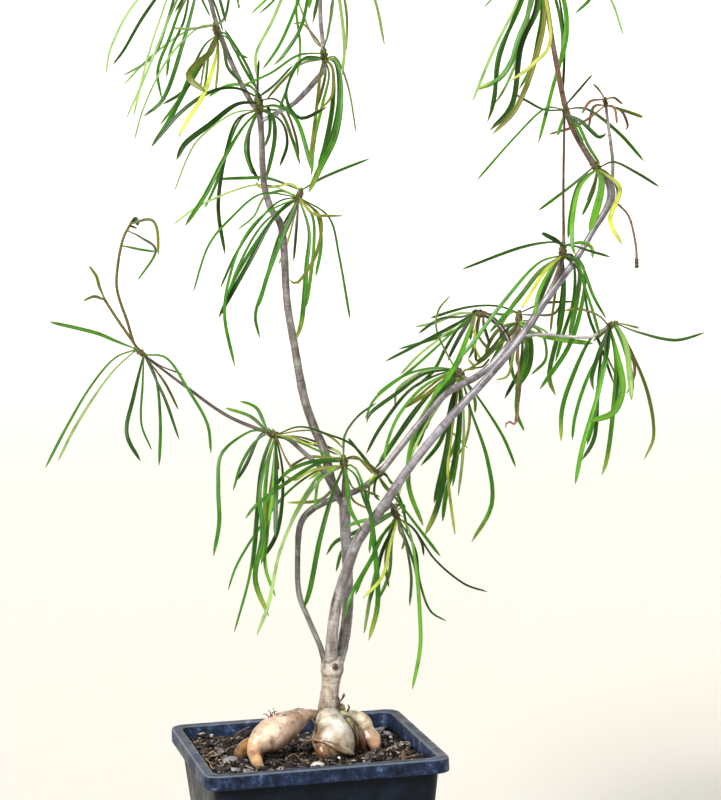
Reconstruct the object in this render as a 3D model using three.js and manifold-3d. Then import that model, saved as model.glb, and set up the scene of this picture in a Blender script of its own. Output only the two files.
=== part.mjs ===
// A potted Euphorbia hedyotoides: a small shrub whose swollen roots stand proud of the soil in a
// square nursery pot, with long bare branches and whorls of narrow hanging leaves.
// Millimetres, +Z up, X and Y along the pot's sides, the origin under the middle of the pot's base.
import * as THREE from "three";
import { mergeVertices } from "three/addons/utils/BufferGeometryUtils.js";
import Module from "manifold-3d";

const wasm = await Module();
wasm.setup();

// The pot
const POT_HEIGHT = 95;
const RIM_HALF = 45;
const RIM_BAND = 5.5;
const RIM_CORNER = 6;
const BODY_HALF = 42;
const BASE_HALF = 32.5;
const BASE_CORNER = 8;
const WALL = 1.2;
const FLOOR = 1.8;
const DRAIN_RADIUS = 4.5;
const DRAIN_PLACE = 19;
const CORNER_STEPS = 5;

// The soil
const SOIL_LEVEL = 91;
const SOIL_FALL_BACK = 0.045;
const SOIL_FALL_RIGHT = 0.03;
const SOIL_ROUGHNESS = 0.8;

// The plant's layout: shapes are drawn on an upright plane through the trunk, as seen from one eye.
// A point that lies off the plane, by its depth, slides along its line of sight.
const PLANE_TURN = THREE.MathUtils.degToRad(12);
const EYE_ACROSS = 24;
const EYE_HEIGHT = 328;
const EYE_DISTANCE = 1025;

// The leaves
const LEAF_LENGTH = 52;
const LEAF_WIDTH = 2;
const LEAF_THICKNESS = 0.8;
const LEAF_CLEARANCE = 2.7;
const CROWN_REACH = 7;
const CLEAR_STEP = 2;
const CLEAR_TRIES = 44;
const SAMPLES = 24;

const GAP = 0.3;
const FINEST = 0.06;

const WOOD_SIDES = 6;
const ROOT_SIDES = 10;

// Colours
const TONES = {
  dark: 0x2b5a1c, mid: 0x3f8a2c, light: 0x74b544, pale: 0x86a87c,
  olive: 0x74702a, yellow: 0xd9d85c, tan: 0xa98d62,
};
const BARK = 0xb0a49f;
const PLASTIC = 0x232a38;
const SOIL_BROWN = 0x3a2b20;
const GRIT = 0x9a9a98;
const STRAW = 0xb98f5e;

// Woody stems, each point as across, up, depth and radius
const STEMS = [
  ["trunk", [[7.4, 100, 0, 4.3], [8.2, 106, 0, 3.8], [9.6, 115, 0, 3.5], [10.5, 122, 0, 4.2],
    [10.9, 127, 0, 3.2]]],
  ["middle_trunk", [[12.2, 123, 1, 2.6], [15, 132, 4, 2.3], [17, 145, 5, 2.2], [17.3, 160, 5, 2.1],
    [17, 173, 4, 2.1], [17, 187, 2, 2.4]]],
  ["front_branch", [[9.8, 123, -1, 2.5], [10.8, 133.6, -3.5, 2.3], [12.8, 145.8, -4, 2.3],
    [16.8, 158, -5, 2.2], [21.6, 170, -6, 2.1], [30.3, 181.2, -7, 2], [42.5, 198, -9, 1.7],
    [57, 214.7, -11, 1.6], [70, 228, -11, 1.5], [83, 242.7, -10, 1.5], [93, 256.8, -9, 1.5],
    [104, 271, -6, 1.3], [111, 282, -4, 1.2], [115.6, 289, -2, 1.4], [117.8, 294.5, 0, 1.8],
    [116.6, 300, 1, 1.5], [112.4, 305, 1, 1.3], [108, 312, 1, 1.2], [104, 320, 2, 1.2],
    [101.6, 328, 2, 1.1], [100, 336, 1, 1.1], [98.5, 345, 0, 1], [97, 355, -1, 1],
    [95.6, 366, -2, 0.9], [93.5, 376, -3, 0.9], [92, 386, -3, 0.8]]],
  ["thin_branch", [[8, 124, 0, 1.4], [6.2, 131, 1, 1.1], [2.5, 140.5, 3, 1.1], [-0.9, 150.7, 4, 1.1],
    [-1, 164, 5, 1.1], [0.3, 176, 6, 1.3], [4.6, 181.8, 7, 1.4], [13, 185.7, 7, 1.2],
    [22, 188.6, 8, 1.2], [29, 193.5, 9, 1.3], [38, 204, 10, 1.3], [46, 213.5, 11, 1.3],
    [55, 223, 12, 1.4], [61, 226.5, 13, 1.4], [67, 229.5, 14, 1.4], [73, 234, 15, 1.3],
    [77, 238.5, 16, 1.3], [80, 242, 17, 1.4]]],
  ["left_branch", [[16, 184, 1, 1.9], [12.5, 192, 3, 1.9], [10, 204, 5, 1.8], [6.4, 213, 7, 1.8],
    [3, 225, 8, 1.7], [0.2, 244, 10, 1.6], [-1.9, 260, 11, 1.5], [-2.8, 285, 13, 1.5],
    [-6.9, 294, 14, 1.35], [-9, 304, 15, 1.3], [-9.2, 320, 16, 1.2], [-9.8, 328, 16, 1.3],
    [-13, 333, 17, 1.1], [-17.5, 342.5, 18, 1], [-22, 354, 20, 1], [-25, 364, 21, 0.9],
    [-27.5, 376, 23, 0.9], [-29, 386, 25, 0.8]]],
  ["upper_middle_twig", [[-9.4, 325, 16, 1], [-4, 327.8, 13, 0.9], [2.5, 331, 8, 1], [7, 335, 3, 1.1],
    [10.8, 339, -2, 1.2], [14, 343.5, -7, 1], [14.3, 351, -10, 0.9], [13.6, 362, -13, 0.8],
    [14.2, 376, -17, 0.8], [15, 389, -20, 0.8]]],
  ["inner_twig", [[-2.7, 283, 13, 1.2], [-0.3, 288, 11, 1], [2.4, 294, 9, 1], [4.4, 298.5, 8, 0.9]]],
  ["far_left_twig", [[15, 187.5, 0, 1.3], [11.9, 191.5, -3, 1.1], [8.8, 197, -6, 1], [1.5, 204.3, -9, 0.9],
    [-3.3, 208.6, -11, 0.9], [-8.8, 210.4, -12, 0.8], [-25, 217.6, -16, 0.7], [-39.8, 228.7, -20, 0.6],
    [-48.6, 235.7, -23, 0.5], [-55.5, 241.2, -25, 0.5]]],
  ["fork_shoot", [[17, 186, 1, 1.3], [17.5, 193, -2, 1.1], [17.2, 200, -3, 1]]],
  ["low_shoot", [[32, 183.5, -7, 1.2], [34.6, 182.5, -4, 1], [36, 179.5, 0, 0.9]]],
  ["inner_right_shoot_a", [[79.5, 241.5, 17, 1.2], [77, 246.5, 20, 1], [72, 251.5, 23, 1.2],
    [67.5, 253, 24, 1]]],
  ["inner_right_shoot_b", [[64, 228, 13.5, 1], [61.5, 230, 16, 0.9], [59.5, 232.5, 18, 0.9]]],
  ["inner_right_shoot_c", [[80, 241.8, 17, 1.2], [82.5, 246, 18.5, 1], [83.1, 251.5, 20, 0.9]]],
  ["thin_twig", [[93, 256.8, -9, 1.3], [96.5, 263.5, -8, 1.1], [98.8, 270, -8, 1], [100, 277, -8, 0.7],
    [100.2, 290, -8.5, 0.5], [100.6, 305, -9, 0.5], [101.4, 325, -10, 0.5]]],
  ["grey_twig", [[84, 243.8, -10, 0.8], [92, 244.3, -13, 0.6], [100, 243.3, -17, 0.6],
    [109, 242.8, -20, 0.6], [112.5, 244.6, -21, 0.7], [117, 247, -22, 0.6]]],
];

// Swollen roots, in the same form
const ROOTS = [
  ["left_root", [[6, 105.2, 0, 1.4], [-2, 103.6, -6, 3.3], [-8, 100.5, -11, 6.1], [-14, 97, -15, 6.5],
    [-18.6, 94, -19, 4.2], [-19.6, 90, -24, 2.4], [-18.2, 86.5, -29, 2], [-16, 83, -34, 1.6],
    [-15, 80, -36, 1]]],
  ["bulb", [[8.4, 107, 0, 2.6], [8.8, 103.5, -2, 4.6], [9.6, 100, -4, 7], [10.8, 95.5, -6, 8.7],
    [12, 91, -8, 8], [13, 87, -9, 5.5], [13.5, 84, -9, 2.5]]],
  ["olive_root", [[12, 105.5, 1, 1.6], [14.8, 102.5, 2, 2.6], [16.8, 98.5, 2, 3], [18.2, 93.5, 1, 2.6],
    [18.6, 89, 0, 1.6]]],
  ["right_root", [[13, 105.5, 3, 1.6], [18, 103.6, 6, 3.2], [21.5, 100.5, 7, 4.4], [24, 96, 6, 3.8],
    [26.2, 92.5, 4, 3], [27, 88, 3, 1.8]]],
  ["root_knob", [[11, 103.5, 2, 1.5], [13.2, 106.3, 3, 2.1], [13.8, 108.6, 3, 1.2]]],
  ["amber_root", [[-18, 95.5, -14, 2], [-22, 93.8, -11, 2.8], [-24.3, 90.5, -10, 3.1],
    [-24.5, 86.5, -10, 2]]],
  ["fine_root", [[-7, 105.6, -9, 0.6], [-2.5, 107.2, -6, 0.5], [1, 106.2, -3, 0.5], [5, 104, 0, 0.7]]],
];

// Dead wood above the knob of the front branch
const SPUR = [
  ["spur", [[118, 295.5, 0.5, 0.8], [118.6, 306, 1, 0.7], [117.9, 314, 1, 0.7], [117, 322, 0, 0.6],
    [116.4, 328.5, 0, 0.6]]],
];
const HANGING_TWIG = [
  ["hanging_twig", [[118, 292.5, 0, 0.6], [120.6, 290.8, -3, 0.5], [124.3, 286, -6, 0.5],
    [126.4, 276, -7, 0.5], [126.6, 267.6, -7, 0.6]]],
];

// Tufts: name, crown axis as across, up and depth, crown radius, then the leaves.
// A leaf has its lean in depth, from -1 towards the eye to 1 away, its width as seen, its tone,
// and its points from the crown to the tip as across and up.
const TUFTS = [
  ["tuft_far_left", [[-54, 240.2, -24.5], [-58.4, 244, -25.5]], 1.3, [
    [1, 1.2, "mid", [-65, 246.5], [-73, 250], [-89.4, 254.4]],
    [-1, 1, "mid", [-66, 240], [-75, 230], [-84, 216], [-92.8, 200.5]],
    [1, 0.9, "pale", [-66, 236], [-74, 226], [-82, 214], [-88, 203]],
    [-1, 1.6, "dark", [-59.3, 226], [-62.4, 212.5], [-57.7, 201.7]],
    [1, 1.3, "mid", [-50.9, 232], [-50, 216], [-51, 200]],
    [-1, 1, "dark", [-48, 225], [-43.2, 209.5]],
    [0.7, 1, "olive", [-47.9, 230.7], [-43.2, 220.6]],
    [-1, 1.3, "mid", [-46.5, 239.4], [-39, 227.3], [-32.8, 215.2], [-31.7, 204]],
    [1, 0.7, "tan", [-48.6, 236.7], [-41.2, 233.5]],
  ]],
  ["shoot_far_left_tall", [[-58.5, 245.5, -25.5], [-60.7, 253.6, -26], [-63.9, 265, -27],
    [-63.4, 274, -28], [-61, 284, -29], [-57.3, 290.6, -29]], 0.55, [
    [-1, 1.3, "olive", [-51.3, 290.6], [-48.6, 287.2], [-48.4, 277.5]],
    [1, 1, "mid", [-54.6, 284.2], [-49.4, 279], [-56.2, 268.7]],
    [-0.6, 0.9, "mid", [-55, 279.8], [-49.4, 278.8]],
  ]],
  ["shoot_far_left_short", [[-60.35, 248.3, -24.6], [-65.4, 256.3, -22], [-69.3, 263, -21]], 0.55, [
    [-0.6, 0.8, "olive", [-72.5, 263], [-76.3, 261.6]],
    [0.6, 0.8, "olive", [-70.4, 266.4], [-71.4, 270.4], [-73.9, 274.4]],
  ]],
  ["tuft_left", [[-6.2, 209.6, -11.6], [-11.6, 211.6, -12.8]], 1.8, [
    [1, 1.2, "mid", [-13.7, 219.2], [-16.7, 221.7], [-20.4, 222.9]],
    [-1, 1, "light", [-16.7, 217.1], [-25.9, 220.6]],
    [-1, 1.5, "mid", [-17.3, 211.5], [-27.7, 203.7], [-29.4, 191], [-29.5, 178], [-32.1, 165.6]],
    [1, 1.3, "dark", [-13.7, 209.8], [-18.6, 200], [-22.5, 193.6]],
    [1, 1, "mid", [-13.7, 198], [-16.1, 178.7], [-18.9, 158.6], [-25.4, 137]],
    [-1, 1.9, "mid", [-14, 191], [-13.7, 173], [-17, 156.8], [-12.4, 142.4]],
    [-1, 1.4, "light", [-9.4, 188.5], [-13.1, 164], [-9.7, 149.8]],
    [1, 1.5, "dark", [-5.5, 194.5], [-7.6, 176.3], [-12.5, 166.5], [-17.9, 163.8]],
    [-1, 1.6, "dark", [-8, 192], [-9, 172]],
    [1, 1.1, "mid", [1.5, 212.8], [11.3, 209.8], [21, 205], [29.7, 193.4]],
    [-1, 1, "mid", [1.5, 206.7], [13, 201.2]],
    [1, 0.9, "olive", [3, 208.5], [16, 203]],
    [-1, 0.8, "tan", [-4.5, 202], [-1.5, 196.7]],
  ]],
  ["tuft_fork", [[17.3, 196.5, -2.5], [17, 201.8, -3]], 1.9, [
    [-1, 1.4, "mid", [7.6, 199], [-4.5, 192], [-15.5, 184.2], [-19.8, 179.3]],
    [1, 0.9, "mid", [7.6, 196.4], [-4.5, 188], [-15.5, 174.5], [-23.4, 162.3], [-27.1, 152.8]],
    [-1, 1.3, "pale", [8.8, 193.3], [-0.9, 180.5], [-7.6, 166], [-12, 148], [-17, 135.5]],
    [0.5, 1.2, "light", [8.8, 194.5], [6.4, 186], [6.4, 181.5]],
    [1, 1.1, "olive", [13.7, 191], [7.6, 185.4], [-4.2, 184.8]],
    [-1, 1.9, "mid", [13.1, 188.5], [7.6, 171.4], [3.4, 153], [0.8, 145.2]],
    [-1, 1.6, "mid", [18, 194.5], [18.9, 182.4], [23, 174]],
    [-1, 1.9, "mid", [21.7, 196.5], [26.3, 180.6], [28.1, 158.7], [28, 145], [24.4, 132.2]],
    [1, 1.2, "mid", [18, 209.2], [22.9, 216], [29.7, 220.8]],
    [-0.7, 1, "olive", [22, 200.8], [28, 194.5]],
  ]],
  ["tuft_front_low", [[34.6, 181.4, -2.5], [37, 177, 1]], 1.7, [
    [-1, 1.5, "light", [40.6, 173.3], [42.8, 158.7], [43.7, 141.7], [43.4, 128.3], [40.1, 113.3]],
    [1, 1.1, "mid", [42.5, 166], [43.7, 154.5], [47.3, 143], [53.3, 138.7]],
    [-1, 0.9, "dark", [38.8, 170.3], [40.9, 156.3], [40, 144.7]],
    [1, 0.9, "dark", [42.5, 173.3], [49.8, 161.8], [60.1, 152.6], [68.9, 149.2]],
    [0.6, 1.1, "dark", [41.8, 174], [44.9, 168.5], [45.7, 163.5]],
    [-1, 1.4, "mid", [32, 173.3], [26, 162.4], [18.7, 150], [15.8, 140.7]],
    [1, 1.3, "dark", [34.5, 176.4], [32.7, 168.5], [31.5, 162.4]],
    [-1, 1.2, "yellow", [33.6, 168.5], [30.3, 156.3], [22.7, 148.1]],
    [1, 1.4, "light", [34, 170], [32.7, 157.5], [28.7, 147.8]],
    [1, 1.3, "pale", [30, 165], [25.7, 150], [22.7, 135]],
    [1, 1.5, "mid", [29, 177], [21, 173.2], [13.1, 169.6], [9.6, 164.7]],
  ]],
  ["tuft_back_low", [[29, 193.4, 9], [31.4, 196.3, 9.3]], 2, [
    [-0.8, 1.2, "mid", [35, 186.7], [43.7, 174.5], [51.9, 163]],
    [1, 0.9, "dark", [26, 198.5], [22, 204], [19, 208]],
    [-0.5, 1, "olive", [27, 197.5], [24.5, 199.8]],
    [-0.6, 0.9, "mid", [26.6, 190.5], [25.8, 184.5]],
    [1, 1, "mid", [34, 192], [38, 183], [40, 172]],
  ]],
  ["tuft_inner", [[3.2, 296, 8.6], [5, 300.5, 7.6]], 1.6, [
    [-1, 1.1, "mid", [12.2, 303.7], [20.4, 307], [29.9, 310.4]],
    [1, 1.1, "mid", [-6.9, 304.2], [-16, 304.7], [-26.5, 304.6]],
    [1, 0.7, "pale", [-6.9, 301.7], [-16.7, 301.2], [-32.5, 295.2], [-42.3, 288.7]],
    [-1, 0.8, "mid", [-10.1, 298.7], [-21.6, 290], [-30, 280.2], [-36, 263.9]],
    [-1, 1.2, "mid", [-9.6, 291], [-18.8, 279], [-24.8, 257.3], [-21.8, 235.8]],
    [1, 1, "mid", [-9.6, 287.8], [-18.3, 274.2], [-24.3, 260]],
    [-1, 1.7, "dark", [-5.8, 289.5], [-14.5, 275.3], [-23.2, 261], [-27.1, 254]],
    [1, 1.3, "mid", [-3.6, 284.6], [-10.1, 265.5], [-13.7, 254.6], [-12.3, 246]],
    [1, 1, "dark", [2.4, 286.2], [1, 274]],
    [-1, 1.8, "mid", [7, 285], [5.7, 272], [3.5, 253], [1, 245]],
    [-1, 1.2, "olive", [11.4, 289.5], [9.5, 276.4], [2.4, 266], [-0.9, 267.4]],
    [1, 1, "mid", [14.4, 289.5], [17.7, 275.3], [21, 252]],
    [-0.7, 1, "yellow", [9, 291], [19.3, 290]],
    [0.7, 1, "yellow", [-0.6, 282.4], [-4.4, 273]],
  ]],
  ["tuft_mid_left", [[-9.6, 327.5, 16], [-10, 335.4, 14.6]], 2.3, [
    [-1, 2, "dark", [-18, 331.5], [-28, 324.5], [-37, 318], [-40.5, 312]],
    [1, 1.5, "dark", [-18, 326], [-22.5, 314], [-25.9, 295], [-24, 277]],
    [-1, 1.7, "mid", [-16, 323], [-23.2, 312], [-30.3, 299.3], [-38.2, 288]],
    [1, 1.6, "dark", [-13.7, 321], [-14, 311], [-10.5, 303]],
    [-1, 1.6, "dark", [-5, 327], [-4.5, 318], [-8, 304]],
    [1, 1.3, "light", [-2, 328], [2, 318], [4.5, 309]],
    [-1, 1.6, "mid", [-3, 330.5], [4, 325], [9, 306.4]],
    [1, 1.2, "dark", [-2, 325], [0, 317], [-3, 308.5]],
    [1, 0.9, "mid", [-11.5, 340], [-15, 348], [-21.5, 359]],
    [-1, 0.8, "dark", [-9.8, 341], [-9.2, 347.5]],
    [-1, 1, "mid", [-4, 338], [3, 345]],
    [1, 0.7, "pale", [-20, 328], [-31.4, 320], [-36.3, 313], [-41.5, 301]],
    [-0.6, 1.6, "dark", [-18, 337.4], [-27, 336.4], [-38, 329.5], [-49, 318]],
  ]],
  ["tuft_mid_right", [[14.6, 345.5, -8], [14.2, 351.8, -10.4]], 1.7, [
    [-1, 2.2, "mid", [19, 346], [20.3, 335], [18, 320], [11.7, 307.5], [7.3, 298.7]],
    [1, 1.9, "mid", [17.5, 343], [17, 330], [14, 316], [11, 308]],
    [1, 0.7, "pale", [19, 347], [23, 336], [25.2, 320.5]],
    [-0.6, 0.9, "pale", [16.5, 357], [18, 368]],
    [-1, 1.4, "olive", [13, 342], [11.5, 331], [8, 309]],
    [1, 1, "olive", [14.6, 341], [11.5, 330]],
    [-1, 1.3, "dark", [6.5, 347], [0.3, 335], [5, 326], [15, 329.7]],
    [1, 1.2, "mid", [5, 346], [0, 335], [-3.5, 326]],
    [-1, 0.9, "mid", [5, 348.5], [-5, 342.5], [-16, 338]],
    [1, 1.2, "olive", [6, 345.5], [-1, 339.5], [-7, 333]],
    [1, 0.8, "pale", [11, 354], [7.5, 362.5], [5, 370]],
  ]],
  ["tuft_upper_left", [[-23.6, 355.5, 20], [-25, 361.5, 20.6]], 1.7, [
    [-1, 1, "pale", [-33, 359.3], [-40, 359.6]],
    [1, 0.8, "pale", [-35, 358.5], [-48, 350], [-58.5, 340]],
    [-1, 0.8, "pale", [-31, 359.5], [-42, 349], [-51, 333], [-55.5, 320]],
    [-1, 1.6, "yellow", [-24.5, 350], [-29.5, 336], [-36.5, 325.5], [-39.5, 320]],
    [1, 1.1, "yellow", [-24, 348], [-25.5, 336]],
    [-1, 2.4, "olive", [-26.5, 351], [-33, 345.5], [-34.8, 341.5], [-29, 336.5]],
    [1, 1.8, "mid", [-28, 350], [-36, 338], [-43, 326], [-49.5, 317]],
    [1, 1.4, "dark", [-31, 345], [-37, 337], [-45, 332.3]],
    [-1, 1.3, "dark", [-21.8, 352], [-20.5, 345], [-15.5, 339]],
    [1, 1, "mid", [-21, 363], [-19, 371]],
  ]],
  ["tuft_top_left", [[-28.6, 382.5, 24.4], [-29.6, 389.5, 25.6]], 1.7, [
    [-1, 1, "pale", [-40, 381], [-54, 368.5], [-62.5, 354], [-65, 344]],
    [1, 1.3, "dark", [-38, 379.5], [-50, 365], [-58, 352.5], [-62.5, 347]],
    [-1, 0.9, "pale", [-38, 378], [-45, 362], [-50, 348], [-55.5, 328.5]],
    [1, 1.2, "mid", [-36, 379], [-42, 362.5], [-47.5, 350], [-58.5, 343.3]],
    [-1, 1.6, "mid", [-31.5, 371], [-37, 353], [-44, 335], [-52, 328]],
    [1, 1.1, "mid", [-30, 373], [-26.5, 363.5]],
    [-0.7, 1, "dark", [-33, 375], [-39, 365.5]],
    [1, 0.8, "tan", [-34, 372], [-40, 361]],
    [-1, 1.2, "dark", [-25, 378], [-22.5, 369], [-20.6, 361]],
    [1, 1, "dark", [-22, 384], [-17, 376], [-16, 366]],
    [-1, 1.2, "mid", [-22, 389], [-14, 386], [-8, 376]],
    [-1, 1.1, "mid", [-26, 396], [-20, 401], [-13, 402]],
    [1, 1.1, "mid", [-33, 396], [-41, 400], [-49, 398]],
    [-0.8, 1, "mid", [-39, 389], [-50, 388], [-61, 380]],
  ]],
  ["tuft_top_middle", [[14.5, 385.5, -19], [15.1, 392.5, -20.8]], 1.6, [
    [-1, 1.4, "mid", [11, 378], [7, 360], [0, 349], [-4, 345.3]],
    [1, 1.3, "pale", [5, 379], [-4, 361], [-10, 350], [-10.2, 341]],
    [-1, 1.2, "dark", [14.5, 376], [11, 361.5]],
    [1, 1, "pale", [25, 381], [33, 369], [36.5, 351.5]],
    [1, 1, "pale", [18, 380], [18, 366], [15.4, 354]],
    [-1, 1.2, "pale", [19.5, 376], [22, 354], [21, 341]],
    [1, 1, "light", [5, 384], [-3, 372], [-11.5, 364]],
    [-1, 1, "mid", [7, 385], [-2, 370], [-8.5, 364]],
    [-1, 1.6, "mid", [12, 377], [9.5, 365]],
    [1, 1.1, "mid", [21, 397], [29, 399], [37, 394]],
    [-1, 1.1, "mid", [12, 399], [7, 404], [0, 403]],
    [-1, 1.2, "mid", [22, 390], [32, 386], [40, 376]],
    [1, 1, "mid", [7, 393], [-1, 393], [-8, 387]],
  ]],
  ["tuft_top_right", [[92.6, 382.5, -3], [91.6, 389.5, -3]], 1.7, [
    [-1, 2, "dark", [92, 364], [86, 349], [82.5, 329], [74, 319.3]],
    [1, 2, "light", [93.5, 366], [86, 351], [79, 339], [69, 334]],
    [-1, 1.9, "olive", [95, 362], [91, 344], [84, 327.5], [75, 318]],
    [1, 1.5, "mid", [87, 366], [78, 347], [76, 331], [73.2, 322.5]],
    [-1, 0.9, "pale", [85, 365], [76, 348], [68, 330]],
    [1, 1.1, "pale", [88, 355], [82, 339], [77, 330]],
    [-1, 1.2, "yellow", [97, 353], [90.5, 343], [82, 337]],
    [1, 1.4, "light", [98.5, 368], [101.3, 350], [97, 333.5], [91.5, 314]],
    [-1, 1.1, "mid", [101.5, 368], [103.2, 355], [101, 343.2]],
    [1, 0.8, "dark", [99, 372], [101.8, 352], [100.6, 329]],
    [1, 1.2, "mid", [104, 380], [112, 368], [106, 360.6]],
    [-1, 0.9, "pale", [108, 381], [118.5, 366.5], [123.3, 352.5]],
    [1, 0.9, "pale", [84, 375], [73, 364]],
    [1, 1.1, "mid", [99, 393], [108, 394], [116, 388]],
    [-1, 1.1, "mid", [87, 396], [80, 400], [72, 398]],
    [-1, 1.2, "mid", [95, 397], [100, 403], [107, 403]],
    [0.8, 1.1, "mid", [84, 389], [74, 387], [66, 379]],
  ]],
  ["tuft_inner_right_a", [[71.5, 252, 23.2], [66, 253.4, 24.2]], 1.7, [
    [1, 1.1, "pale", [60, 252.8], [52, 249.8], [45, 248.6]],
    [-1, 1.2, "dark", [60, 249], [48, 243], [33.5, 236]],
    [1, 1, "mid", [60, 247], [50, 243.5], [38.5, 240.5]],
    [-1, 0.9, "mid", [58, 245.5], [44, 233.5], [30, 223], [25.5, 215]],
    [1, 1.5, "dark", [62, 246], [58, 239], [56.5, 235.5]],
    [-1, 2, "light", [64.5, 246], [59, 233.5], [50, 222]],
    [1, 1.1, "dark", [70, 248.5], [72, 241]],
    [-0.7, 1, "tan", [66, 248], [65, 243]],
    [1, 1.4, "olive", [67.5, 247], [66, 240], [64, 236]],
  ]],
  ["tuft_inner_right_b", [[62, 229.8, 15.6], [58.5, 233, 18.6]], 1.9, [
    [-0.6, 0.8, "pale", [53, 246], [53.5, 254], [58, 259.5]],
    [1, 1, "pale", [48, 232], [38, 226], [36.5, 219.5]],
    [-1, 1.2, "dark", [48, 231], [38, 224.5], [28, 217.5], [26, 213.5]],
    [1, 1.2, "dark", [50, 229.5], [41, 224], [31, 211.5], [25.5, 202]],
    [0.3, 1.3, "light", [47, 226], [38, 216], [33.5, 206], [32, 199]],
    [1, 1, "dark", [50, 224], [40, 211.5], [32, 200.5], [28, 196]],
    [-0.5, 1.1, "olive", [50, 224.5], [40, 218.5]],
    [0.3, 1.8, "light", [50, 221], [42.5, 206], [40.8, 190], [45.8, 174.5]],
    [1, 1.8, "dark", [53, 221], [48, 213], [44.5, 204]],
    [1, 1.6, "mid", [57, 218], [53, 206], [45.5, 197]],
    [0.4, 2.2, "dark", [57.5, 215], [55, 197], [51, 181], [46.3, 171]],
    [1, 1.8, "mid", [60, 214], [58, 199], [54.5, 186], [53, 176]],
    [0.2, 0.9, "pale", [61.8, 214], [61, 200], [59, 185.5]],
    [1, 1, "yellow", [56, 212], [59, 207.5], [63, 203]],
    [0.2, 1, "yellow", [64, 217], [62, 205], [56.5, 198]],
    [0.3, 1.1, "yellow", [57, 207], [55.5, 193], [57.5, 171]],
    [1, 1.5, "mid", [64.5, 217], [70, 199], [71.3, 182], [63.5, 168]],
    [0.3, 1.1, "mid", [69, 219], [76, 207], [80.5, 195.5]],
    [0.7, 1.3, "light", [65.7, 222], [66, 216]],
    [1, 1, "pale", [48, 212], [41, 198], [36, 183]],
  ]],
  ["tuft_inner_right_c", [[82.7, 247.8, 19], [83.2, 253.5, 20.4]], 1.7, [
    [0.5, 0.9, "dark", [75, 255.2], [64, 255], [50.5, 251.5]],
    [0.4, 0.9, "dark", [92, 255.6], [103, 256]],
    [0.3, 1.8, "mid", [79, 247], [75, 238.5], [71, 231.5]],
    [1, 1, "olive", [77, 243], [70, 236], [64, 232.5]],
    [-0.5, 1, "dark", [78, 246], [73, 240], [67.5, 235], [66.5, 240]],
    [1, 1.4, "olive", [76, 247], [72, 242], [70, 236]],
    [1, 1.6, "dark", [85.5, 244], [84, 234], [77, 221]],
    [0.4, 2, "mid", [87, 243], [86.5, 233], [82.3, 225.5]],
    [1, 0.9, "light", [82.3, 240], [82, 234], [85, 230]],
    [0.2, 1.4, "mid", [84, 240], [82, 226], [81.3, 216], [84, 208.5]],
    [1, 1.2, "mid", [79.5, 240], [80, 231], [82, 225]],
    [0.7, 1.1, "light", [91, 245], [92.5, 235.5], [87, 229.6]],
    [-0.6, 1.9, "light", [88, 245], [98, 242.3], [110, 240.4]],
    [1, 0.8, "dark", [87.5, 249], [91, 244]],
    [0.8, 1.2, "dark", [88, 251.5], [96, 251.8], [99.5, 257.5], [99.5, 263]],
    [1, 0.7, "yellow", [80.5, 237], [78.4, 229.6], [74, 228]],
    [0.4, 0.8, "tan", [84, 238], [82.4, 222], [80.5, 211.5]],
  ]],
  ["tuft_right_mid", [[99.3, 271.5, -8], [100, 278, -8]], 1.9, [
    [1, 1, "dark", [95, 278], [83, 276], [62.5, 269]],
    [-0.6, 1.6, "dark", [97, 278.8], [92, 281.5]],
    [-1, 0.9, "dark", [104, 276.3], [109, 274.5], [117, 272]],
    [-1, 1.4, "mid", [90, 270], [77, 256], [66, 242], [60, 235.5]],
    [1, 0.9, "olive", [91, 268], [84, 259.5], [79.5, 254.5]],
    [-0.6, 1.2, "yellow", [93, 267.5], [88, 260], [84, 254]],
    [1, 1.8, "mid", [95.5, 267], [91, 257.5], [87.5, 249.5]],
    [0.8, 1.8, "mid", [100, 262], [98.5, 249], [93.7, 230], [95.8, 221.5]],
    [1, 2, "light", [105.5, 268], [104.5, 257], [101.3, 243]],
    [0.6, 1.7, "mid", [106.5, 270], [107, 259], [101.5, 240.5], [90, 224]],
    [-0.5, 0.9, "dark", [106, 266], [108.5, 251], [113, 238.5], [117.2, 225.5]],
    [-0.8, 0.9, "mid", [106, 270], [110.5, 258], [115, 249.5]],
    [0.7, 1, "olive", [97, 262], [95, 250], [94.5, 245]],
    [-0.6, 1.2, "light", [106.5, 277.5], [110.2, 275.5], [110.4, 271.8]],
  ]],
  ["tuft_far_right", [[115, 246, -21.4], [119.4, 248, -22.6]], 1.5, [
    [-1, 1, "mid", [127, 244], [140, 240.8], [151, 243.2]],
    [1, 0.8, "pale", [122, 247], [127, 245.5]],
    [-1, 2, "pale", [122, 240], [123.2, 229], [123.8, 219]],
    [1, 0.9, "tan", [123.8, 236], [125, 229], [122, 221.5]],
    [1, 1.1, "olive", [124, 237], [129.8, 221], [131.6, 206], [128, 197]],
    [-1, 2.3, "light", [118.7, 236], [120.6, 224], [117, 214.8], [108.3, 211.7]],
    [1, 1.7, "light", [118.2, 233], [116.5, 212], [114.3, 198], [112.2, 191.5]],
    [1, 1.4, "dark", [113.2, 239], [111.3, 222], [109.8, 206], [105, 197.3]],
    [-1, 1.7, "light", [115.3, 237], [111.5, 222], [105.5, 203], [102.3, 188.5]],
    [-1, 1.2, "dark", [112, 236.5], [109.4, 228], [109.9, 223]],
    [-0.7, 1.4, "mid", [115.3, 238], [113, 230]],
    [1, 1.6, "mid", [109, 242], [102, 228], [98, 216], [97.4, 204.5]],
    [-0.8, 0.8, "olive", [112, 250.7], [105, 253.2], [99.7, 252.7]],
  ]],
  ["tuft_right_upper", [[113.8, 303.4, 1], [110.6, 307.4, 1]], 2, [
    [-1, 1.5, "light", [106.5, 298], [103.6, 287], [103.2, 277], [104.3, 273]],
    [1, 1.4, "mid", [111, 296], [107, 287.5]],
    [-1, 2, "light", [114.7, 299], [113, 290.5], [109.5, 281]],
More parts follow.
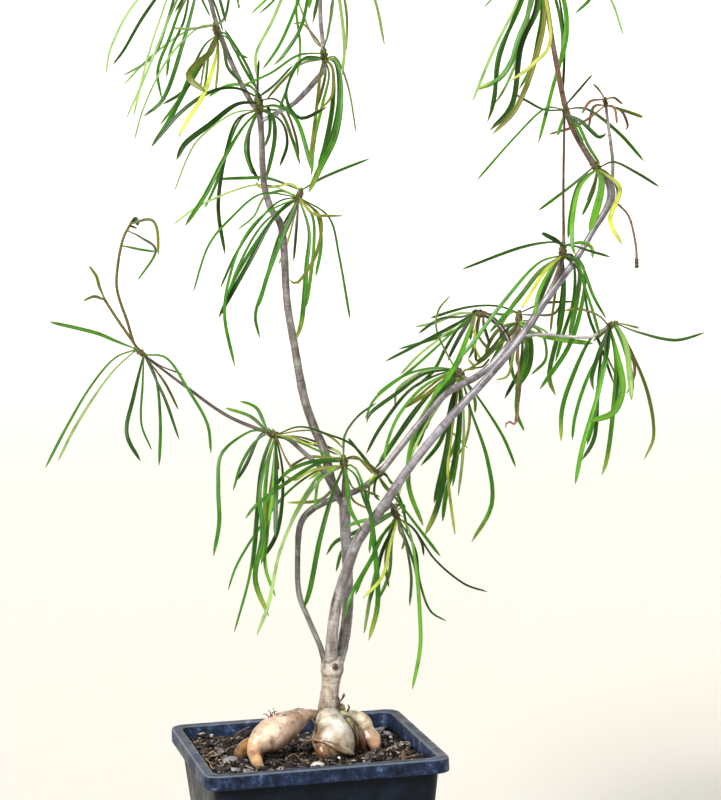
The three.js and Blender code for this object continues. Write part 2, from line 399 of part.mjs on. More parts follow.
    [1, 1, "mid", [103, 298.3], [91, 289.8]],
    [-1, 1, "dark", [119, 306.5], [127, 302.5], [135.5, 297]],
    [-1, 1.6, "yellow", [121, 297], [117.2, 285.5], [121.5, 276.3]],
    [1, 1, "dark", [116, 303], [120, 297], [119.5, 291]],
  ]],
  ["tuft_right_thin", [[101.3, 323.4, -9.9], [101.6, 328.4, -10.1]], 1.1, [
    [1, 1.2, "mid", [110, 325.8], [121, 317], [130, 306.5]],
    [-1, 1.3, "dark", [107, 322], [113.5, 316], [116.5, 317.3]],
    [-0.6, 1.2, "mid", [106, 321], [110, 312.5], [114, 306]],
    [-1, 0.8, "mid", [94, 326.5], [83, 316.5], [69, 301.5]],
    [1, 0.9, "dark", [94, 326.3], [87.5, 329.8], [83, 332.5]],
    [-1, 0.9, "dark", [105, 331], [111.8, 338.5]],
  ]],
  ["dry_tuft", [[116.6, 326.3, 0], [116.2, 330.4, 0]], 1.1, [
    [-1, 0.8, "tan", [111, 328.8], [107.8, 324.5]],
    [1, 0.8, "tan", [112, 326.5], [110, 319]],
    [-1, 0.7, "tan", [114, 333], [112, 335]],
    [1, 0.7, "tan", [119.5, 329.8], [122.5, 327.5]],
    [-1, 0.8, "tan", [119.5, 326], [120.5, 320.5]],
    [1, 0.8, "tan", [122, 325], [124.2, 320], [123.5, 318]],
    [-0.6, 1.2, "olive", [121.5, 325.7], [130, 322.5]],
    [0.6, 0.9, "tan", [110, 322.5], [104, 319.5], [95.5, 317.3]],
  ]],
];

const TO_EYE = new THREE.Vector3(Math.sin(PLANE_TURN), Math.cos(PLANE_TURN), 0);

// The place in space of a point drawn across and up, at a depth behind the drawing plane
function spot(across, up, depth) {
  const x = across + (across - EYE_ACROSS) * depth / EYE_DISTANCE;
  const z = up + (up - EYE_HEIGHT) * depth / EYE_DISTANCE;
  const cos = Math.cos(PLANE_TURN);
  const sin = Math.sin(PLANE_TURN);
  return new THREE.Vector3(x * cos + depth * sin, depth * cos - x * sin, z);
}

// A closed geometry as a solid that can be joined and cut
function solid(geometry) {
  geometry.deleteAttribute("normal");
  geometry.deleteAttribute("uv");
  const merged = mergeVertices(geometry, 1e-4);
  const index = merged.index.array;
  const triVerts = [];
  for (let i = 0; i < index.length; i += 3) {
    const [a, b, c] = [index[i], index[i + 1], index[i + 2]];
    if (a !== b && b !== c && c !== a) triVerts.push(a, b, c);
  }
  const mesh = new wasm.Mesh({
    numProp: 3,
    vertProperties: merged.attributes.position.array,
    triVerts: new Uint32Array(triVerts),
  });
  return new wasm.Manifold(mesh);
}

// Solids joined into one, without the slivers that crossing surfaces leave
function joined(solids) {
  return solids.reduce((whole, piece) => whole.add(piece)).asOriginal().simplify(FINEST);
}

// The largest body of a solid: scraps that a cut leaves loose are dropped
function largest(whole) {
  const bodies = whole.decompose();
  const main = bodies.reduce((best, body) => (body.volume() > best.volume() ? body : best));
  return main.asOriginal().simplify(FINEST);
}

function named(name, whole, colour, roughness) {
  const mesh = whole.getMesh();
  const geometry = new THREE.BufferGeometry();
  geometry.setAttribute("position", new THREE.BufferAttribute(mesh.vertProperties, 3));
  geometry.setIndex(new THREE.BufferAttribute(mesh.triVerts, 1));
  geometry.computeVertexNormals();
  const material = new THREE.MeshStandardMaterial({ color: colour, roughness, metalness: 0 });
  const piece = new THREE.Mesh(geometry, material);
  piece.name = name;
  return piece;
}

// A cylinder, or a cone where it is pointed, bent along stations. Each station has a place, a half
// width, a half thickness and a roll: at no roll its width is square to the eye.
function bent(stations, sides, pointed) {
  const last = stations.length - 1;
  const geometry = new THREE.CylinderGeometry(pointed ? 0 : 1, 1, 1, sides, last);
  const rings = stations.map((station, i) => {
    const before = stations[Math.max(i - 1, 0)].place;
    const after = stations[Math.min(i + 1, last)].place;
    const along = after.clone().sub(before).normalize();
    const away = TO_EYE.clone().addScaledVector(along, -TO_EYE.dot(along)).normalize();
    const across = away.clone().cross(along);
    const cos = Math.cos(station.roll);
    const sin = Math.sin(station.roll);
    return {
      thick: away.clone().multiplyScalar(cos).addScaledVector(across, -sin).multiplyScalar(station.thick),
      wide: across.clone().multiplyScalar(cos).addScaledVector(away, sin).multiplyScalar(station.wide),
    };
  });
  const position = geometry.attributes.position;
  for (let i = 0; i < position.count; i += 1) {
    const k = Math.round((position.getY(i) + 0.5) * last);
    const [x, z] = [position.getX(i), position.getZ(i)];
    const reach = Math.hypot(x, z) || 1;
    const place = stations[k].place.clone();
    place.addScaledVector(rings[k].thick, x / reach).addScaledVector(rings[k].wide, z / reach);
    position.setXYZ(i, place.x, place.y, place.z);
  }
  return solid(geometry);
}

// Stations of a round stem through its points, with a number of spans between each pair
function stemStations(points, grown, steps) {
  const curve = new THREE.CatmullRomCurve3(points.map(([x, z, depth]) => spot(x, z, depth)),
    false, "catmullrom");
  const spans = points.length - 1;
  const stations = [];
  for (let i = 0; i <= steps * spans; i += 1) {
    const from = points[Math.floor(i / steps)][3];
    const to = points[Math.min(Math.floor(i / steps) + 1, spans)][3];
    const radius = from + (to - from) * (i % steps) / steps + grown;
    stations.push({ place: curve.getPoint(i / (steps * spans)), wide: radius, thick: radius, roll: 0 });
  }
  return stations;
}

function stems(rows, sides, steps, grown) {
  return joined(rows.map(([, points]) => bent(stemStations(points, grown, steps), sides, false)));
}

// A square shell or block with rounded corners: a lathe whose rings are squared.
// The profile has half width, height and corner radius.
function squared(profile, lift) {
  const steps = 4 * CORNER_STEPS;
  const outline = profile.map(([half, z]) => new THREE.Vector2(half, z));
  const geometry = new THREE.LatheGeometry(outline, steps);
  const position = geometry.attributes.position;
  for (let i = 0; i < position.count; i += 1) {
    const ring = Math.floor(i / profile.length) % steps;
    const [half, z, corner] = profile[i % profile.length];
    const quarter = Math.floor(ring / CORNER_STEPS);
    const turn = (quarter + (ring % CORNER_STEPS) / (CORNER_STEPS - 1)) * Math.PI / 2;
    const middle = (quarter + 0.5) * Math.PI / 2;
    const inset = (half - corner) * Math.SQRT2;
    const x = Math.cos(middle) * inset + Math.cos(turn) * corner;
    const y = Math.sin(middle) * inset + Math.sin(turn) * corner;
    position.setXYZ(i, x, y, z + lift(x, y, z));
  }
  const whole = solid(geometry);
  return whole;
}

function pot() {
  const slope = (BODY_HALF - BASE_HALF) / (POT_HEIGHT - WALL);
  const half = (z) => BASE_HALF + slope * z;
  const corner = (z) => BASE_CORNER + (RIM_CORNER - 1 - BASE_CORNER) * z / POT_HEIGHT;
  const underLip = POT_HEIGHT - WALL;
  const band = POT_HEIGHT - RIM_BAND;
  const profile = [
    [0, 0, 0],
    [BASE_HALF, 0, BASE_CORNER],
    [half(band), band, corner(band)],
    [half(underLip), underLip, corner(underLip)],
    [RIM_HALF - WALL, underLip, RIM_CORNER - WALL],
    [RIM_HALF - WALL, band, RIM_CORNER - WALL],
    [RIM_HALF, band, RIM_CORNER],
    [RIM_HALF, POT_HEIGHT, RIM_CORNER],
    [half(POT_HEIGHT) - WALL, POT_HEIGHT, corner(POT_HEIGHT) - WALL],
    [half(FLOOR) - WALL, FLOOR, corner(FLOOR) - WALL],
    [0, FLOOR, 0],
  ];
  const shell = squared(profile, () => 0);
  const drains = [[1, 1], [-1, 1], [-1, -1], [1, -1]].map(([x, y]) => {
    const drain = new THREE.CylinderGeometry(DRAIN_RADIUS, DRAIN_RADIUS, 4 * FLOOR, 16);
    drain.rotateX(Math.PI / 2);
    drain.translate(x * DRAIN_PLACE, y * DRAIN_PLACE, FLOOR / 2);
    return solid(drain);
  });
  return shell.subtract(joined(drains));
}

// The soil's height: it falls to the back and the right, and is lumpy
function soilHeight(x, y) {
  const lumps = Math.sin(0.35 * x + 1) * Math.sin(0.31 * y + 2) + 0.7 * Math.sin(0.7 * x - 0.5 * y);
  return SOIL_LEVEL - SOIL_FALL_BACK * y - SOIL_FALL_RIGHT * x + SOIL_ROUGHNESS * lumps;
}

function soilBlock() {
  const slope = (BODY_HALF - BASE_HALF) / (POT_HEIGHT - WALL);
  const half = (z) => BASE_HALF + slope * z - WALL - GAP;
  const bottom = FLOOR + GAP;
  const edge = SOIL_LEVEL - 8;
  const top = (share) => [half(SOIL_LEVEL) * share, SOIL_LEVEL, 4 * share];
  const profile = [[0, bottom, 0], [half(bottom), bottom, BASE_CORNER - WALL], [half(edge), edge, 4],
    top(1), top(0.84), top(0.68), top(0.52), top(0.36), top(0.18), top(0)];
  return squared(profile, (x, y, z) => (z === SOIL_LEVEL ? soilHeight(x, y) - SOIL_LEVEL : 0));
}

// The depth at which a drawn point meets the soil
function soilDepth(across, up) {
  const flat = SOIL_LEVEL + 0.5;
  const depth = (flat - up) * EYE_DISTANCE / (up - EYE_HEIGHT);
  const place = spot(across, up, depth);
  return (soilHeight(place.x, place.y) - up) * EYE_DISTANCE / (up - EYE_HEIGHT);
}

// A stone half sunk in the soil, grown by a little for the hole that it sits in
function stone(across, up, wide, tall, grown) {
  const lump = new THREE.SphereGeometry(1, 10, 7);
  lump.rotateX(Math.PI / 2);
  lump.scale(wide + grown, 0.8 * wide + grown, tall + grown);
  const place = spot(across, up, soilDepth(across, up));
  lump.translate(place.x, place.y, place.z);
  return solid(lump);
}

// A stick or rootlet lying in the soil
function strand(points, radius, grown) {
  const rows = points.map(([x, z]) => [x, z, soilDepth(x, z), radius]);
  return bent(stemStations(rows, grown, 2), 6, false);
}

// Leaf geometry: the curve from the crown's axis to the tip, its depth by rule
function crownPoint(crown, across, up) {
  let best = null;
  let nearest = Infinity;
  for (let i = 0; i < crown.length - 1; i += 1) {
    const [ax, az, ad] = crown[i];
    const [bx, bz, bd] = crown[i + 1];
    const run = (bx - ax) * (bx - ax) + (bz - az) * (bz - az);
    const dot = (across - ax) * (bx - ax) + (up - az) * (bz - az);
    const share = Math.min(0.8, Math.max(0.25, dot / run));
    const [x, z] = [ax + (bx - ax) * share, az + (bz - az) * share];
    const far = (across - x) * (across - x) + (up - z) * (up - z);
    if (far < nearest) {
      nearest = far;
      best = [x, z, ad + (bd - ad) * share];
    }
  }
  return best;
}

function leafCurve(crown, lean, points, shift) {
  const root = crownPoint(crown, ...points[0]);
  const path = [root, ...points];
  const travelled = [0];
  for (let i = 1; i < path.length; i += 1) {
    const [dx, dz] = [path[i][0] - path[i - 1][0], path[i][1] - path[i - 1][1]];
    travelled.push(travelled[i - 1] + Math.sqrt(dx * dx + dz * dz));
  }
  const seen = travelled[path.length - 1];
  const real = Math.min(LEAF_LENGTH, 2.2 * seen);
  const reach = Math.sqrt(Math.max(real * real - seen * seen, 0.05 * seen * seen));
  const places = path.map(([x, z], i) => {
    const share = travelled[i] / seen;
    return spot(x, z, root[2] + (lean * reach + shift) * share * (2 - share));
  });
  return { curve: new THREE.CatmullRomCurve3(places, false, "catmullrom"), seen };
}

// Everything that a leaf has to stay clear of, as balls along each stem and leaf
const balls = [];

function addBalls(places, radii, owner) {
  places.forEach((place, i) => balls.push({ place, radius: radii[i], owner, at: i / (places.length - 1) }));
}

function blocked(places, crownPlace, owner) {
  return places.some((place, i) => {
    const nearCrown = place.distanceToSquared(crownPlace) < CROWN_REACH * CROWN_REACH;
    return balls.some((ball) => {
      const crowded = nearCrown && ball.place.distanceToSquared(crownPlace) < CROWN_REACH * CROWN_REACH;
      if (crowded && (ball.owner === "stem" || ball.owner === owner)) return false;
      if (ball.owner === owner && (ball.at < 0.3 || i < 0.3 * SAMPLES)) return false;
      const clear = ball.radius + LEAF_CLEARANCE - LEAF_WIDTH / 2;
      return place.distanceToSquared(ball.place) < clear * clear;
    });
  });
}

// A leaf bent clear of what stands in its way: its depth shifts in growing steps to either side
function clearLeaf(owner, crown, lean, points) {
  for (let attempt = 0; attempt < CLEAR_TRIES; attempt += 1) {
    const step = CLEAR_STEP * Math.ceil(attempt / 2);
    const side = attempt % 2 === 0 ? -1 : 1;
    const leaf = leafCurve(crown, lean, points, side * step);
    const places = leaf.curve.getSpacedPoints(SAMPLES);
    if (!blocked(places, places[0], owner) || attempt === CLEAR_TRIES - 1) {
      addBalls(places, places.map(() => LEAF_WIDTH / 2), owner);
      if (attempt === CLEAR_TRIES - 1) console.error("no clear place for a leaf of", owner);
      return leaf;
    }
  }
  return null;
}

function blade(leaf, width) {
  const spans = Math.min(5, 2 + Math.round(leaf.seen / 18));
  const broad = Math.max(LEAF_WIDTH, width);
  const roll = Math.acos(Math.min(1, width / broad));
  const stations = leaf.curve.getSpacedPoints(spans).map((place, i) => {
    const share = i / spans;
    const half = broad / 2 * Math.min(1, 0.6 + 1.4 * share) * (share > 0.7 ? 1.28 - 0.4 * share : 1);
    return { place, wide: half, thick: LEAF_THICKNESS / 2, roll };
  });
  return bent(stations, 4, true);
}

function tuft([name, crown, radius, leaves], wood) {
  const crownRows = crown.map((point) => [...point, radius]);
  const body = bent(stemStations(crownRows, 0, 1), 6, false);
  const blades = leaves.map(([lean, width, , ...points]) =>
    blade(clearLeaf(name, crown, lean, points), width));
  return largest(joined([body, ...blades]).subtract(wood));
}

// The mean of the leaves' tones
function meanTone(leaves) {
  const mean = new THREE.Color(0, 0, 0);
  leaves.forEach((leaf) => mean.add(new THREE.Color(TONES[leaf[2]])));
  return mean.multiplyScalar(1 / leaves.length);
}

const plant = new THREE.Group();

const roots = stems(ROOTS, ROOT_SIDES, 2, 0);
const wood = stems(STEMS, WOOD_SIDES, 1, 0);
plant.add(named("caudex_and_branches", largest(roots.add(wood)), BARK, 0.7));

const fatWood = stems([...STEMS, ...SPUR], WOOD_SIDES, 1, GAP);
const branchWood = stems(STEMS, WOOD_SIDES, 1, GAP);
plant.add(named("dead_spur", largest(stems(SPUR, 5, 1, 0).subtract(branchWood)), GRIT, 0.8));
plant.add(named("hanging_twig", largest(stems(HANGING_TWIG, 5, 1, 0).subtract(branchWood)), STRAW, 0.8));

[...STEMS, ...SPUR, ...HANGING_TWIG].forEach(([, points]) => {
  const curve = new THREE.CatmullRomCurve3(points.map(([x, z, depth]) => spot(x, z, depth)),
    false, "catmullrom");
  const pieces = Math.ceil(curve.getLength() / 2);
  const radii = points.map((point) => point[3]);
  const places = [];
  const sizes = [];
  for (let i = 0; i <= pieces; i += 1) {
    const at = i / pieces * (points.length - 1);
    places.push(curve.getPoint(i / pieces));
    sizes.push(Math.max(radii[Math.floor(at)], radii[Math.ceil(at)]));
  }
  addBalls(places, sizes, "stem");
});

TUFTS.forEach((row) => {
  plant.add(named(row[0], tuft(row, fatWood), meanTone(row[3]), 0.5));
});

const stones = [["grey_pebble", -28.4, 87.6, 3.2, 2.4], ["white_pebble", 4, 85.6, 2.6, 1.3]];
const strands = [
  ["tan_rootlet", [[-38.6, 91.4], [-37.4, 92.7], [-35, 91.6], [-31, 88.9]], 0.65],
  ["tan_stick", [[36, 86], [36.2, 89.6]], 0.9],
];
const fatRoots = stems(ROOTS, ROOT_SIDES, 2, GAP);
const holes = [
  fatRoots,
  ...stones.map(([, ...shape]) => stone(...shape, GAP)),
  ...strands.map(([, points, radius]) => strand(points, radius, GAP)),
];
stones.forEach(([name, ...shape]) => plant.add(named(name, stone(...shape, 0), GRIT, 0.9)));
strands.forEach(([name, ...shape]) => plant.add(named(name, strand(...shape, 0), STRAW, 0.8)));
plant.add(named("soil", largest(soilBlock().subtract(joined(holes))), SOIL_BROWN, 1));
plant.add(named("pot", pot(), PLASTIC, 0.45));

export default plant;
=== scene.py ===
# A potted Euphorbia hedyotoides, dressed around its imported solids: a small shrub whose swollen roots
# stand proud of the soil, with silvery branches and whorls of narrow leaves, in a square black pot.
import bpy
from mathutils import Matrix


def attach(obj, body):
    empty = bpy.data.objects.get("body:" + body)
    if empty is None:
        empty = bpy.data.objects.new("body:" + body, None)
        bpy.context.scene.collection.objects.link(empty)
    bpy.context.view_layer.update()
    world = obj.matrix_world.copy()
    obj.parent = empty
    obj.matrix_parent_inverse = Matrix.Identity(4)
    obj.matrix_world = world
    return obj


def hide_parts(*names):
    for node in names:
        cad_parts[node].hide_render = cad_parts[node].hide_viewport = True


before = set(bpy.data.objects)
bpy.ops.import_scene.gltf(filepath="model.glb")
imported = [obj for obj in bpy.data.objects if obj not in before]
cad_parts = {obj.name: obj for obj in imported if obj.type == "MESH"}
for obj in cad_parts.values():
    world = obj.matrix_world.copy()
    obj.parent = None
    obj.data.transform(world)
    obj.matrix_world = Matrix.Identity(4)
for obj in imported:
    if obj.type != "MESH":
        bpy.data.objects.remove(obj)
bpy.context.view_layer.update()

import math
import random

import bpy
import numpy as np
from mathutils import Matrix, Vector, noise

# Pot. A 9 cm square nursery pot, injection moulded in black polypropylene: thin drafted walls, a
# turned-down band round the rim that lets pots stack, and a flat base with four drain holes.
POT_HEIGHT = 95
RIM_HALF = 45
RIM_BAND = 5.5
RIM_CORNER = 6
BODY_HALF = 42
BASE_HALF = 32.5
BASE_CORNER = 8
LIP_FROM = 93.2
WALL = 1.2
WALL_BOW = 0.5
FLOOR = 1.8
DRAIN_RADIUS = 4.5
DRAIN_PLACE = 19
DRILL_LENGTH = 8
WALL_SLOPE = (BODY_HALF - BASE_HALF) / (POT_HEIGHT - WALL)
MM = 0.001


def linear(code):
    """An sRGB hex colour as linear RGBA."""
    channels = [int(code[i:i + 2], 16) / 255 for i in (0, 2, 4)]
    return [c / 12.92 if c <= 0.04045 else ((c + 0.055) / 1.055) ** 2.4 for c in channels] + [1.0]


def add(tree, kind, feeds=None, stops=None, **settings):
    """A node with its settings, its colour stops, and its inputs set or fed from other sockets."""
    node = tree.nodes.new(kind)
    for name, value in settings.items():
        setattr(node, name, value)
    for socket, value in (feeds or {}).items():
        if isinstance(value, bpy.types.NodeSocket):
            tree.links.new(value, node.inputs[socket])
        else:
            node.inputs[socket].default_value = value
    if stops:
        elements = node.color_ramp.elements
        while len(elements) < len(stops):
            elements.new(0.5)
        for element, (place, code) in zip(elements, stops):
            element.position = place
            element.color = linear(code)
    return node


def new_material(name, **sockets):
    """A material with its shader's fixed sockets set. Returns it, its tree and its shader."""
    made = bpy.data.materials.new(name)
    made.use_nodes = True
    tree = made.node_tree
    shader = tree.nodes["Principled BSDF"]
    for socket, value in sockets.items():
        shader.inputs[socket.replace("_", " ")].default_value = value
    return made, tree, shader


def lay_on(mesh, name, kind, field, values):
    """A named value at each point of a mesh, for its material to read."""
    layer = mesh.attributes.new(name, kind, "POINT")
    layer.data.foreach_set(field, np.asarray(values, dtype=np.float32).ravel())


def make_piece(name, places, faces, materials, nodes, slot, tints=None, marks=None, grains=None, smooth=True):
    """A mesh piece drawn in millimetres, in place of some CAD nodes, riding on the one body."""
    mesh = bpy.data.meshes.new(name)
    mesh.from_pydata((np.asarray(places, dtype=float) * MM).tolist(), [], faces)
    for material in materials:
        mesh.materials.append(material)
    mesh.polygons.foreach_set("use_smooth", [smooth] * len(mesh.polygons))
    if marks is not None:
        mesh.polygons.foreach_set("material_index", marks)
    if tints is not None:
        lay_on(mesh, "skin", "FLOAT_COLOR", "color", tints)
    if grains is not None:
        lay_on(mesh, "grain", "FLOAT_VECTOR", "vector", grains)
    mesh.update()
    made = bpy.data.objects.new(name, mesh)
    bpy.context.scene.collection.objects.link(made)
    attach(made, "root")
    if nodes:
        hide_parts(*nodes)
    return made


def square_ring(half, height, corner, bow=0.0, arc=8, side=10):
    """Points round a square with rounded corners, its sides bowed out by a little."""
    ring = []
    for quarter in range(4):
        middle = (quarter + 0.5) * math.pi / 2
        inset = (half - corner) * math.sqrt(2)
        centre = (math.cos(middle) * inset, math.sin(middle) * inset)
        for i in range(arc + 1):
            turn = (quarter + i / arc) * math.pi / 2
            ring.append([centre[0] + math.cos(turn) * corner, centre[1] + math.sin(turn) * corner, height])
        out = Vector((math.cos((quarter + 1) * math.pi / 2), math.sin((quarter + 1) * math.pi / 2)))
        start = Vector(ring[-1][:2])
        run = Vector((-out.y, out.x)) * 2 * (half - corner)
        for i in range(1, side):
            share = i / side
            point = start + run * share + out * bow * math.sin(share * math.pi)
            ring.append([point.x, point.y, height])
    return ring


def between_rings(rings, count):
    """The faces between rings of points that follow one another."""
    faces = []
    for k in range(rings - 1):
        for i in range(count):
            j = (i + 1) % count
            faces.append([k * count + i, k * count + j, (k + 1) * count + j, (k + 1) * count + i])
    return faces


def stitched(rings):
    """A shell through rings of the same length, closed to a point at both ends."""
    count = len(rings[0])
    places = [point for ring in rings for point in ring]
    faces = between_rings(len(rings), count)
    last = (len(rings) - 1) * count
    places += [[0, 0, rings[0][0][2]], [0, 0, rings[-1][0][2]]]
    for i in range(count):
        j = (i + 1) % count
        faces.append([j, i, len(places) - 2])
        faces.append([last + i, last + j, len(places) - 1])
    return places, faces


def wall_half(z):
    return BASE_HALF + WALL_SLOPE * z


def wall_corner(z):
    return BASE_CORNER + (RIM_CORNER - 1 - BASE_CORNER) * z / POT_HEIGHT


band = POT_HEIGHT - RIM_BAND
under_lip = POT_HEIGHT - WALL
inner_lip = wall_half(POT_HEIGHT) - WALL


def bowed(z, inset=0):
    """A ring of the wall, which bows out a little between its foot and the band."""
    return wall_half(z) - inset, z, wall_corner(z) - inset, WALL_BOW * math.sin(z / band * math.pi)


# Rings from under the base, round the foot, up the wall, over the band and the rim, and down the
# inside to the floor: each one's half width, height, corner radius and bow.
pot_profile = [
    (2, 0, 1, 0), (BASE_HALF - 1.2, 0, BASE_CORNER - 1, 0), (BASE_HALF - 0.35, 0.15, BASE_CORNER - 0.3, 0),
    (BASE_HALF, 0.7, BASE_CORNER, 0), *(bowed(z) for z in (10, 22, 34, 46, 58, 70, 80, 87)),
    (wall_half(band), band, wall_corner(band), 0), (wall_half(LIP_FROM), LIP_FROM, wall_corner(93), 0),
    (wall_half(LIP_FROM) + 0.5, under_lip, wall_corner(93) + 0.5, 0),
    (RIM_HALF - WALL - 0.4, under_lip, RIM_CORNER - WALL - 0.4, 0),
    (RIM_HALF - WALL, under_lip - 0.4, RIM_CORNER - WALL, 0),
    (RIM_HALF - WALL, band + 0.3, RIM_CORNER - WALL, 0),
    (RIM_HALF - WALL + 0.3, band, RIM_CORNER - WALL + 0.3, 0), (RIM_HALF - 0.4, band, 5.6, 0),
    (RIM_HALF - 0.1, band + 0.15, 5.9, 0), (RIM_HALF, band + 0.5, RIM_CORNER, 0),
    (RIM_HALF - 0.12, POT_HEIGHT - 0.8, 5.9, 0), (RIM_HALF - 0.3, POT_HEIGHT - 0.3, 5.7, 0),
    (RIM_HALF - 0.8, POT_HEIGHT - 0.03, 5.2, 0), (RIM_HALF - 1.6, POT_HEIGHT, 4.9, 0),
    (inner_lip + 1, POT_HEIGHT, 4.6, 0), (inner_lip + 0.4, POT_HEIGHT - 0.12, 4.2, 0),
    (inner_lip, POT_HEIGHT - 0.7, 3.8, 0), *(bowed(z, WALL) for z in (86, 70, 50, 30, 12, FLOOR + 1)),
    (wall_half(FLOOR) - WALL - 0.8, FLOOR, BASE_CORNER - 2, 0), (2, FLOOR, 1, 0),
]
places, faces = stitched([square_ring(half, z, corner, bow) for half, z, corner, bow in pot_profile])

# The polypropylene is black; the blue cast in its colour is a painted reflection of the sky. Its fine moulded
# grain keeps the gloss soft. Watering has left a film of dust and lime on the wall, and handling has scuffed
# the band pale;
# the pale line along its top edge is a painted highlight with some dust.
DUST_PATCH = 14
SCUFF = 4.5
GRAIN = 0.35
polypropylene, tree, shader = new_material("moulded black polypropylene", IOR=1.49, Specular_IOR_Level=0.12)
where = add(tree, "ShaderNodeTexCoord").outputs["Object"]
patches = add(tree, "ShaderNodeTexNoise", {"Vector": where, "Scale": 1 / (DUST_PATCH * MM), "Detail": 6.0,
                                           "Roughness": 0.62})
# Painted reflection: the blue cast of these dust film colours stands in for the sky mirrored in the black
# plastic.
dust_film_and_reflection = add(tree, "ShaderNodeValToRGB", {"Fac": patches.outputs["Fac"]},
           stops=[(0.34, "070b10"), (0.52, "0b121c"), (0.66, "141e2f"), (0.8, "3f4c60")])
height = add(tree, "ShaderNodeSeparateXYZ", {"Vector": where}).outputs["Z"]
on_band = add(tree, "ShaderNodeMapRange", {"Value": height, "From Min": (band - 0.5) * MM,
                                            "From Max": (band + 0.5) * MM})
scuffs = add(tree, "ShaderNodeTexNoise", {"Vector": where, "Scale": 1 / (SCUFF * MM), "Detail": 7.0,
                                          "Roughness": 0.72})
# Painted reflection: the band's scuff colours carry the same painted blue cast of the sky.
scuffs_and_reflection = add(tree, "ShaderNodeValToRGB", {"Fac": scuffs.outputs["Fac"]},
            stops=[(0.38, "0a1019"), (0.5, "172135"), (0.6, "2c3b57"), (0.72, "8492ac")])
dressed = add(tree, "ShaderNodeMix", {0: on_band.outputs["Result"], 6: dust_film_and_reflection.outputs["Color"],
                                      7: scuffs_and_reflection.outputs["Color"]}, data_type="RGBA")
# Painted highlight with some dust: the last millimetre under the rim's top is mixed towards pale grey.
last_mm = add(tree, "ShaderNodeMapRange", {"Value": height, "From Min": (POT_HEIGHT - 1) * MM,
                                            "From Max": POT_HEIGHT * MM})
top_edge_highlight_and_dust = add(tree, "ShaderNodeValToRGB", {"Fac": last_mm.outputs["Result"]},
              stops=[(0.2, "000000"), (0.5, "b4b4b4"), (0.85, "b4b4b4"), (0.99, "404040")])
edge_highlighted = add(tree, "ShaderNodeMix", {0: top_edge_highlight_and_dust.outputs["Color"], 6: dressed.outputs[2],
                                    7: linear("747c84")}, data_type="RGBA")
tree.links.new(edge_highlighted.outputs[2], shader.inputs["Base Color"])
gloss = add(tree, "ShaderNodeMapRange", {"Value": patches.outputs["Fac"], "From Min": 0.35, "From Max": 0.75,
                                         "To Min": 0.34, "To Max": 0.66})
tree.links.new(gloss.outputs["Result"], shader.inputs["Roughness"])
grain = add(tree, "ShaderNodeTexNoise", {"Vector": where, "Scale": 1 / (GRAIN * MM), "Detail": 2.0})
bump = add(tree, "ShaderNodeBump", {"Height": grain.outputs["Fac"], "Strength": 0.25, "Distance": 0.05 * MM})
tree.links.new(bump.outputs["Normal"], shader.inputs["Normal"])
pot = make_piece("nursery_pot", places, faces, [polypropylene], ["pot"], "pot_plastic")
for x, y in ((1, 1), (-1, 1), (-1, -1), (1, -1)):
    bpy.ops.mesh.primitive_cylinder_add(vertices=40, radius=DRAIN_RADIUS * MM, depth=DRILL_LENGTH * MM,
                                        location=(x * DRAIN_PLACE * MM, y * DRAIN_PLACE * MM, 0))
    drill = bpy.context.object
    cut = pot.modifiers.new("drain", "BOOLEAN")
    cut.operation, cut.object, cut.solver = "DIFFERENCE", drill, "EXACT"
    bpy.context.view_layer.objects.active = pot
    bpy.ops.object.modifier_apply(modifier=cut.name)
    bpy.data.objects.remove(drill)
pot.data.polygons.foreach_set("use_smooth", [True] * len(pot.data.polygons))
pot.data.set_sharp_from_angle(angle=math.radians(38))

# Soil. One block of dark bark and grit potting mix up to 4 or 5 mm under the rim, settled so that it
# is lowest at the back right. Its lumps and crumbs are real relief, and the roots stand in it.
SOIL_LEVEL = 91
SOIL_FALL_BACK = 0.045
SOIL_FALL_RIGHT = 0.03
SOIL_ROUGHNESS = 0.8
SOIL_GAP = 0.3
SOIL_CORNER = 4
HIGHEST_CRUMB = 94.6
SOIL_GRID = 130


def soil_height(x, y):
    """The settled surface, by the same rule as the solid."""
    lumps = math.sin(0.35 * x + 1) * math.sin(0.31 * y + 2) + 0.7 * math.sin(0.7 * x - 0.5 * y)
    return SOIL_LEVEL - SOIL_FALL_BACK * y - SOIL_FALL_RIGHT * x + SOIL_ROUGHNESS * lumps


def crumbled(x, y):
    """The soil's height with its crumbs."""
    coarse = noise.fractal(Vector((x, y, 3)) * 0.24, 0.8, 2.1, 4)
    fine = noise.noise(Vector((x, y, 7)) * 1.1)
    return soil_height(x, y) + 1.1 * coarse + 0.5 * fine - 0.4


def in_corner(x, y, half, corner):
    """A point of a square brought inside its rounded corner."""
    over = Vector((abs(x) - (half - corner), abs(y) - (half - corner)))
    if over.x > 0 and over.y > 0 and over.length > corner:
        over *= corner / over.length
        x = math.copysign(half - corner + over.x, x)
        y = math.copysign(half - corner + over.y, y)
    return x, y


